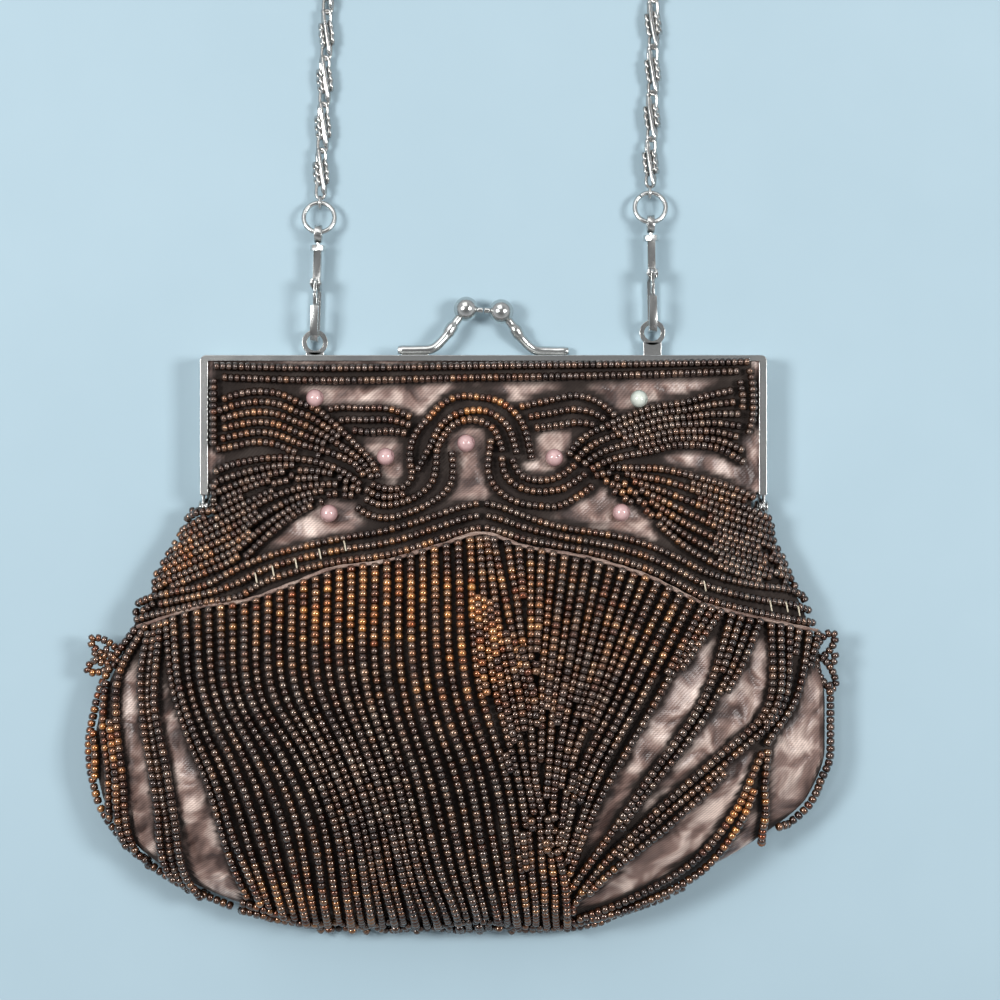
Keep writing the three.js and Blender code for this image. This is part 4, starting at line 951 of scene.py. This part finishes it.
def layBack():
    rows = BeadRows("back", 0.72, 31)
    across = np.linspace(-1, 1, 160)
    down = monotone(chevronAcross, chevronDown, across) * pouch["length"]
    lift = beadSizes["back"]["lift"]
    spread = backSizes["spread"]
    for k in range(backSizes["rows"]):
        y = -(down + backSizes["firstRow"] + backSizes["rowStep"] * k)
        x = across * spread * halfAt(across, y)
        path, normals = onSatin(x, y, np.full(160, lift), front=False)
        rows.add(path, normals)
    rows.build("back_chevron_beads", ("bead_chevron_back",), front=False)
    strands = BeadRows("back", 0.72, 37)
    half = pouch["halfWidth"]
    count = backSizes["strands"]
    for k in list(range(0, count, 2)) + list(range(1, count, 2)):
        a = np.array([-0.985 + 1.97 * k / (count - 1)])
        start = -(monotone(chevronAcross, chevronDown, a)[0] * pouch["length"] + backSizes["firstBead"])
        ends = monotone(backAcross, backEnd, a)[0] * half
        grid = np.linspace(0.55 * pouch["length"], pouch["length"] - 1, 300)
        sides = halfAt(np.full(300, ends), -grid) * 0.9
        inside = grid[sides > abs(ends)]
        low = -(inside[-1] if len(inside) else 0.55 * pouch["length"])
        s = np.linspace(0, 1, 80)
        y = start + s * (low - start)
        top = a[0] * spread * halfAt(a, np.array([start]))[0]
        third = monotone(backAcross, backThird, a)[0] * half
        second = monotone(backAcross, backSecond, a)[0] * half
        x = monotone([0, 1 / 3, 2 / 3, 1], [top, third, second, ends], s)
        reach = spread * halfAt(x, y)
        path, normals = onSatin(np.clip(x, -reach, reach), y, np.full(80, lift), front=False)
        strands.add(path, normals)
    strands.build("back_fringe_beads", ("bead_fringe_back",), front=False)


layBack()


# Satin shell: rows from the mouth to the bottom, columns once round, closer together at the seams.
def satinShell():
    rows, columns = pouch["rows"], pouch["columns"]
    share = np.linspace(0, 1, rows)
    down = 0.9 + (pouch["length"] - 0.9) * share
    over = np.sin(np.linspace(-np.pi / 2, np.pi / 2, columns))
    under = np.sin(np.linspace(np.pi / 2, -np.pi / 2, pouch["backColumns"]))[1:-1]
    frontX = over[None] * halfAt(over[None] * np.ones((rows, 1)), -down[:, None] * np.ones((1, columns)))
    frontY = -down[:, None] * np.ones((1, columns))
    backX = under[None] * halfAt(under[None] * np.ones((rows, 1)), -down[:, None] * np.ones((1, len(under))))
    backY = -down[:, None] * np.ones((1, len(under)))
    frontZ, backZ = satinHeight(frontX, frontY), satinHeight(backX, backY, front=False)
    calmBelow = np.clip((pouch["length"] - down[:, None]) / 6, 0, 1)
    calmFront = np.clip((1 - np.abs(over)) / 0.06, 0, 1) * calmBelow
    calmBack = np.clip((1 - np.abs(under)) / 0.06, 0, 1) * calmBelow
    inFrame = np.clip((down[:, None] - 2.5) / 5, 0, 1)
    frontZ = frontZ + foldAt(frontX, frontY, True) * calmFront * inFrame
    backZ = backZ + np.maximum(0, foldAt(backX, backY, False)) * calmBack * inFrame
    x, y, z = np.hstack([frontX, backX]), np.hstack([frontY, backY]), np.hstack([frontZ, backZ])
    # Inside the frame the cloth ends short of the arms, and by the hinges short of the ears.
    inside = np.interp(down, *pouch["held"])[:, None]
    x = np.clip(x, -inside, inside)
    around = x.shape[1]
    points = np.stack([x, y, z], -1).reshape(-1, 3)
    steps = np.sqrt(np.diff(x, axis=1) ** 2 + np.diff(z, axis=1) ** 2)
    uv = np.stack([np.hstack([np.zeros((rows, 1)), np.cumsum(steps, 1)]) - steps.sum(1)[:, None] / 3, -y], -1)
    # Columns run over the front from left to right and back underneath, rows towards -Y.
    faces = gridFaces(rows, around)[:, ::-1]
    return points, [faces], uv.reshape(-1, 2), columns, around


def satinPiece():
    points, faces, uv, columns, around = satinShell()
    piece = addPiece("satin_cloth", (points, faces), satinCloth, replaces=("satin_pouch",),
                     uv=uv)
    # Shade under the strands: bead centres counted in cells of a millimetre, then spread.
    beadPlaces = np.concatenate([fringeRows.places(), panelRows.places()])
    grid = [np.arange(-110, 101, 1.0), np.arange(-155, 6, 1.0)]
    density = np.histogram2d(beadPlaces[:, 0], beadPlaces[:, 1], bins=grid)[0]
    for turn in range(3):
        for axis in (0, 1):
            density = (np.roll(density, 1, axis) + density + np.roll(density, -1, axis)) / 3
    i = np.clip((points[:, 0] + 110).astype(int), 0, density.shape[0] - 1)
    j = np.clip((points[:, 1] + 155).astype(int), 0, density.shape[1] - 1)
    front = (np.arange(len(points)) % around) < columns
    shade = np.clip(density[i, j] * 17.0 - 0.6, 0, 1) * 0.96 * front
    layer = piece.data.attributes.new(name="shade", type="FLOAT", domain="POINT")
    layer.data.foreach_set("value", shade.astype(np.float32))
    work = bmesh.new()
    work.from_mesh(piece.data)
    low = [v for v in work.verts if v.co.y < (originRise - pouch["length"] + 0.02) * 0.001]
    bmesh.ops.remove_doubles(work, verts=low, dist=0.00002)
    work.to_mesh(piece.data)
    work.free()
    thick = piece.modifiers.new("wall", "SOLIDIFY")
    thick.thickness = pouch["wall"] * 0.001
    thick.offset = -1
    return piece


satinPiece()
print("satin")


# Piping: a satin cord over the heads of the strands, and cream stitches across the rows.
trim = {"piping": 0.46, "pipingLift": 1.5, "stitch": 0.2, "stitchLength": 10.0}
stitches = [(256, 578), (273, 571), (296, 563.5), (320, 554), (345, 546), (705, 586), (771, 606), (787, 607),
            (799, 611)]


def layPiping():
    line = curveThrough(piping, 260)
    path = fromPhoto(line, trim["pipingLift"])[0]
    swell = 1 + 0.16 * np.sin(np.arange(260) * 0.9) + 0.1 * np.sin(np.arange(260) * 0.37)
    points, faces = sweep(path, circleOf(trim["piping"], 10), scale=swell)
    uv = np.stack([np.repeat(np.arange(260) * 0.7, 10), np.tile(np.arange(10) * 0.4, 260)], 1)
    addPiece("satin_piping", (points, faces), pipingCloth, uv=uv)


def layStitches():
    parts = []
    for x, y in stitches:
        reach = trim["stitchLength"] / 2
        ends = np.array([(x - 1.2, y - reach), (x - 0.4, y - reach / 2), (x, y), (x + 0.5, y + reach / 2),
                         (x + 1, y + reach)])
        path = fromPhoto(curveThrough(ends, 12), 2.45 + 0.3 * np.sin(np.linspace(0, np.pi, 12)))[0]
        parts.append(sweep(path, circleOf(trim["stitch"], 6)))
    addPiece("cream_stitches", joined(parts), creamThread)


layPiping()
layStitches()


# Tufts: three small loops of beads at each side seam, round the loops of the solid. Each loop has
# its angle in degrees, its rise and its reach in millimetres.
tuftLoops = {"bead_tuft_left": ((34, 0.9, 4.1), (-22, -0.8, 4.3), (4, 1.2, 3.0)),
             "bead_tuft_right": ((58, 0.9, 3.6), (-62, -0.8, 4.4), (0, 0.9, 2.2))}


def layTufts():
    for side, name in ((-1, "bead_tuft_left"), (1, "bead_tuft_right")):
        low, high = [np.array(corner) * 1000 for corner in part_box(name)]
        seam = high[0] if side < 0 else low[0]
        middle = np.array([seam - side * 0.4, (low[1] + high[1]) / 2 - originRise, (low[2] + high[2]) / 2])
        rows = BeadRows("panel", 0.6, 41)
        for angle, rise, reach in tuftLoops[name]:
            a = np.linspace(-np.pi, np.pi, 40)
            turn = math.radians(angle)
            along, across = reach * (1 + np.cos(a)), 1.7 * np.sin(a)
            x = side * (along * math.cos(turn) - across * math.sin(turn))
            y = along * math.sin(turn) + across * math.cos(turn)
            path = middle + np.stack([x, y, rise * np.cos(a)], 1)
            rows.add(path, np.repeat([[0, 0, 1.0]], 40, 0))
        rows.build(name + "_loops", (name,))


layTufts()
print("beadwork")


# Frame halves: a folded channel along both arms and the top, ears at the hinges, the clasp's rod and
# ball, and on the back half the two eyelets.
frameSizes = {"half": 70.9, "reach": 35.0, "depth": 9.6, "halfDepth": 4.6, "sheet": 0.7, "topFlange": 1.5,
              "armFlange": 2.0, "corner": 1.5, "drop": 38.0, "ear": 2.3, "bevel": 0.16}
# Each half: its lowest height, its ears' outer face, its rod's side and how high its ball stands.
frameHalves = {"frame_back": (0.0, 69.9, 1, 11.25), "frame_front": (5.0, 70.74, -1, 11.9)}
eyelets = {"across": 42.6, "radius": 2.675, "height": 3.6, "rises": {-1: 3.5, 1: 6.0}}


def archLine(topInset, armInset, radius):
    half = frameSizes["half"] - armInset
    a = np.linspace(np.pi, np.pi / 2, 9)
    corner = np.stack([-half + radius + radius * np.cos(a), -topInset - radius + radius * np.sin(a)], 1)
    left = np.concatenate([[[-half, -frameSizes["reach"]]], corner])
    return np.concatenate([left, left[::-1] * (-1, 1)])


def channel(z0):
    s = frameSizes
    lines = {"outer": archLine(0, 0, s["corner"]), "web": archLine(s["sheet"], s["sheet"], 0.8),
             "inner": archLine(s["topFlange"], s["armFlange"], 0.3)}
    low, high = z0, z0 + s["halfDepth"]
    corners = [("outer", low), ("outer", high), ("inner", high), ("inner", high - s["sheet"]),
               ("web", high - s["sheet"]), ("web", low + s["sheet"]), ("inner", low + s["sheet"]),
               ("inner", low)]
    grid = np.stack([np.c_[lines[line], np.full(len(lines[line]), z)] for line, z in corners], 1)
    rows = len(grid)
    faces = [gridFaces(rows, 8), np.arange(8)[::-1][None], (rows - 1) * 8 + np.arange(8)[None]]
    return grid.reshape(-1, 3), faces


# Round end, stem, and the jog that joins the stem to the arm.
def hingeEar(side, outerFace, z0):
    s = frameSizes
    inner = outerFace - s["sheet"]
    middle = s["depth"] / 2
    low, high = z0 + 0.16, z0 + s["halfDepth"] - 0.16
    stemLow, stemHigh = max(low, middle - s["ear"]), min(high, middle + s["ear"])
    disc = sweep(np.array([[side * inner, -s["drop"], middle], [side * outerFace, -s["drop"], middle]]),
                 circleOf(s["ear"], 32))
    stem = boxOf((side * inner, -s["drop"], stemLow), (side * outerFace, -s["reach"] + 0.6, stemHigh))
    jog = boxOf((side * inner, -s["reach"] - 0.1, z0 + 0.08),
                (side * (s["half"] - 0.08), -s["reach"] + 0.6, z0 + s["halfDepth"] - 0.08))
    return [disc, stem, jog]


def clasp(side, rise, z0):
    footZ, middle = z0 + frameSizes["halfDepth"] / 2, frameSizes["depth"] / 2
    at = lambda x, y, share: (side * x, y, footZ + share * (middle - footZ))
    center = np.array(at(4.4, rise, 1))
    points = [at(21.5, 1.4, 0), at(16.8, 1.4, 0), at(12.8, 1.8, 0.1), at(21.6 / 2.2, 0.38 * rise, 0.4),
              at(7.5, 0.66 * rise, 0.75), tuple(center)]
    line = curveThrough(points, 44)
    width = np.interp(np.linspace(0, 1, 44), [0, 0.05, 0.12, 0.55, 0.62, 0.66, 0.74, 0.78, 1],
                      [0.8, 1, 1, 1, 1.04, 1.3, 1.3, 0.95, 0.9])
    rod = sweep(line, circleOf(1.2, 18), scale=width)
    foot = boxOf(at(20.6, -0.3, -0.14), at(13.8, 0.6, 0.14))
    nub = sweep(np.array([center, (side * 0.15, 11.575, middle)]), circleOf(0.8, 16), up=(0, 0, 1))
    return [rod, foot, ballAt(center, 3.1, 36, 22), nub]


def eyelet(side):
    x, rise, radius = side * eyelets["across"], eyelets["rises"][side], eyelets["radius"]
    a = np.linspace(0, 2 * np.pi, 37)[:-1]
    ring = np.stack([x + radius * np.cos(a), rise + radius * np.sin(a), np.full(36, eyelets["height"])], 1)
    flat = np.array([(-0.4, -0.62), (-0.4, 0.62), (0.4, 0.62), (0.4, -0.62)])[::-1]
    tab = sweep(ring, flat, closed=True)
    foot = boxOf((x - 2.3, -0.4, 3.2), (x + 2.3, rise - 2.35, 4.0))
    return [tab, foot]


def layFrame():
    for name, (z0, ear, side, rise) in frameHalves.items():
        parts = [channel(z0)] + hingeEar(-1, ear, z0) + hingeEar(1, ear, z0) + clasp(side, rise, z0)
        if z0 == 0:
            parts += eyelet(-1) + eyelet(1)
        addPiece(name + "_metal", joined(parts), nickel, replaces=(name,),
                 bevel=frameSizes["bevel"])
    for side, name in ((-1, "hinge_rivet_left"), (1, "hinge_rivet_right")):
        low, high = [np.array(corner) * 1000 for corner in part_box(name)]
        y, z = (low[1] + high[1]) / 2 - originRise, (low[2] + high[2]) / 2
        # A domed head at either end of the shank: radius along x as a table.
        x = np.array([0, 0.15, 0.4, 0.68, 0.7, 0.72]) + low[0]
        x = np.r_[x, high[0] - (x[::-1] - low[0])]
        radius = np.array([0.7, 1.25, 1.6, 1.7, 1.7, 0.9, 0.9, 1.7, 1.7, 1.6, 1.25, 0.7])
        path = np.stack([x, np.full(12, y), np.full(12, z)], 1)
        shape = sweep(path, circleOf(1.0, 20), scale=radius)
        addPiece(name + "_metal", shape, nickel, replaces=(name,))


layFrame()
print("frame")


# Clips, levers and swivel eyes: a merged copy of each solid with its edges rounded.
def roundedCopy(name, body, width):
    source = bpy.data.objects[name]
    copy = bpy.data.objects.new(name + "_metal", source.data.copy())
    scene.collection.objects.link(copy)
    work = bmesh.new()
    work.from_mesh(copy.data)
    bmesh.ops.remove_doubles(work, verts=work.verts, dist=0.000002)
    bmesh.ops.dissolve_limit(work, angle_limit=math.radians(2), verts=work.verts, edges=work.edges)
    work.to_mesh(copy.data)
    work.free()
    copy.data.materials.clear()
    copy.data.materials.append(nickel)
    copy.data.polygons.foreach_set("use_smooth", np.ones(len(copy.data.polygons), bool))
    edge = copy.modifiers.new("edges", "BEVEL")
    edge.width = width * 0.001
    edge.segments = 3
    edge.limit_method = "ANGLE"
    edge.angle_limit = math.radians(30)
    edge.harden_normals = True
    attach(copy, body)
    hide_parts(name)


for label in ("left", "right"):
    roundedCopy("clip_body_" + label, "purse", 0.16)
    roundedCopy("clip_eye_" + label, "purse", 0.16)
    roundedCopy("clip_lever_" + label, "gate_" + label, 0.18)

# Jump rings, turned with their clips; the right one shows the split where it was closed.
ringSizes = {"radius": 3.9, "wire": 0.62, "tilt": 12.0, "bottom": 27.78, "center": 4.7}
clipTurns = {"left": (-42.6, 3.45, -2.0), "right": (42.6, 5.95, 1.0)}


def byClip(points, label):
    x, y, angle = clipTurns[label]
    c, s = math.cos(math.radians(angle)), math.sin(math.radians(angle))
    turned = points @ np.array([[c, s, 0], [-s, c, 0], [0, 0, 1]])
    return turned + (x, y, 0)


def layRings():
    s = ringSizes
    tilt = math.radians(s["tilt"])
    for label, start, stop in (("left", 95, 452), ("right", 128, 485)):
        a = np.radians(np.linspace(start, stop, 60))
        ring = np.stack([s["radius"] * np.cos(a), s["radius"] + s["radius"] * np.sin(a)], 1)
        path = np.stack([ring[:, 0], s["bottom"] + ring[:, 1] * math.cos(tilt),
                         s["center"] - ring[:, 1] * math.sin(tilt)], 1)
        up = byClip(np.array([[0, math.sin(tilt), math.cos(tilt)]]), label)[0] - (*clipTurns[label][:2], 0)
        shape = sweep(byClip(path, label), circleOf(s["wire"], 14), up=up)
        addPiece(f"jump_ring_{label}_wire", shape, nickel, replaces=("jump_ring_" + label,))


layRings()

# Pearls: a sphere with a small drilled dimple on one side.
def layPearls():
    turns = {"pearl_inner_right": (0.55, 0.2), "pearl_lower_left": (-0.5, -0.9),
             "pearl_upper_right": (0.9, -0.3)}
    for name in [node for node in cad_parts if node.startswith("pearl_")]:
        low, high = [np.array(corner) * 1000 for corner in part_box(name)]
        center = (low + high) / 2 - (0, originRise + 0.85, 0)
        points, faces = ballAt(center, 2.2, 36, 24)
        away = unit(points - center)
        hole = unit(np.array([*turns.get(name, (1.0, 0.3)), 0.45 if name != "pearl_inner_right" else 0.9]))
        close = np.arccos(np.clip(away @ hole, -1, 1))
        points = points - away * (0.5 * np.exp(-(close / 0.16) ** 2))[:, None]
        white = name == "pearl_upper_right"
        addPiece(name + "_bead", (points, faces), whitePearl if white else pinkPearl,
                 replaces=(name,))


layPearls()

# Chain: a unit is a long slanting link over a bundle of three wound loops, with an oval link at
# either end that hooks into the next unit.
chain = {"pitch": 11.7, "wire": 0.46, "wound": 0.46}
strapRoute = [(-40.6, 60, 2.5), (-39.4, 95, 2.3), (-38.9, 140, 2.3), (-39.6, 190, 2.3),
              (-40.6, 230, 2.3), (-36.5, 256, 2.3), (-21, 276, 2.3), (1.2, 283, 2.3), (24, 275.5, 2.3),
              (40, 256, 2.3), (44.4, 230, 2.3), (44, 190, 2.3), (43.3, 140, 2.3), (43, 95, 2.3),
              (42.6, 62, 2.5)]


# Local axes of a unit: x along the strap, y up from the floor, z across. Each wire is an ellipse
# in the plane of two directions.
def wireLoop(center, long, short, radius, steps=20, sides=6):
    a = np.arange(steps) * 2 * np.pi / steps
    long, short = np.array(long, float), np.array(short, float)
    # Squarer than an ellipse, so that the sides of a link run straight.
    bend = lambda v: np.sign(v) * np.abs(v) ** 0.75
    path = np.array(center) + np.outer(bend(np.cos(a)), long) + np.outer(bend(np.sin(a)), short)
    return sweep(path, circleOf(radius, sides), closed=True, up=np.cross(long, short))


def chainUnit():
    wire, wound = chain["wire"], chain["wound"]
    parts = [wireLoop((-4.3, -0.35, 0.1), (2.2, -0.25, 0), (0, 0.1, 1.15), wire, 20, 8),
             wireLoop((0.4, 0.8, 0), (5.3, 0.1, -0.95), (0.1, 0.5, 0.16), wire * 1.15, 26, 8)]
    # Wound loops lean with the long link, three on either side of it.
    for along, across in ((-2.2, -0.9), (-0.4, -1.25), (1.4, -1.4), (-1.4, 1.4), (0.4, 1.25), (2.2, 0.9)):
        parts.append(wireLoop((along, -0.1, across), (0.95, 0.05, -0.38), (0.12, 0.95, 0.3), wound, 14))
    parts.append(wireLoop((4.2, -0.3, -0.1), (1.9, 0.2, 0), (0, 0.3, 1.1), wire, 18, 6))
    return joined(parts)


def layChain():
    tilt = math.radians(ringSizes["tilt"])
    linkY = ringSizes["bottom"] + 2 * ringSizes["radius"] * math.cos(tilt)
    linkZ = ringSizes["center"] - 2 * ringSizes["radius"] * math.sin(tilt)
    ends = [byClip(np.array([[0, linkY, linkZ]]), label)[0] for label in ("left", "right")]
    route = curveThrough([ends[0] + (0, 1.7, 0)] + strapRoute + [ends[1] + (0, 1.7, 0)], 900)
    d = np.r_[0, np.cumsum(np.linalg.norm(np.diff(route, axis=0), axis=1))]
    count = int(round(d[-1] / chain["pitch"]))
    pitch = d[-1] / count
    at = lambda s: np.stack([np.interp(s, d, route[:, k]) for k in range(3)], 1)
    s = (np.arange(count) + 0.5) * pitch
    center, t = at(s), unit(at(s + pitch / 2) - at(s - pitch / 2))
    up = unit(np.array([0, 0, 1.0]) - t[:, 2:] * t)
    across = np.cross(t, up)
    # Each unit rolls a little, as links do on a table.
    roll = np.radians(dice.uniform(-9, 9, count))[:, None]
    up, across = up * np.cos(roll) + across * np.sin(roll), across * np.cos(roll) - up * np.sin(roll)
    points, faces = chainUnit()
    places = (center[:, None] + points[None, :, :1] * t[:, None] + points[None, :, 1:2] * up[:, None]
              + points[None, :, 2:] * across[:, None])
    base = np.arange(count)[:, None, None] * len(points)
    parts = [(places.reshape(-1, 3), [(group[None] + base).reshape(-1, group.shape[1]) for group in faces])]
    for end in ends:
        a = np.linspace(0, 2 * np.pi, 25)[:-1]
        small = end + np.stack([np.zeros(24), 1.5 * np.cos(a), 1.5 * np.sin(a)], 1)
        parts.append(sweep(small, circleOf(0.42, 8), closed=True, up=(1, 0, 0)))
    addPiece("chain_links", joined(parts), chainNickel, replaces=("chain_strap",))
    print("chain", count, "units", round(d[-1], 1), "mm")


layChain()

# Plain pale floor
floorHalf, floorHeight = 3.0, -4e-5
floorCorners = [(x * floorHalf, y * floorHalf, floorHeight) for x, y in ((-1, -1), (1, -1), (1, 1), (-1, 1))]
floorMesh = bpy.data.meshes.new("floor")
floorMesh.from_pydata(floorCorners, [], [(0, 1, 2, 3)])
floorMesh.materials.append(floorMaterial())
floor = bpy.data.objects.new("floor", floorMesh)
scene.collection.objects.link(floor)
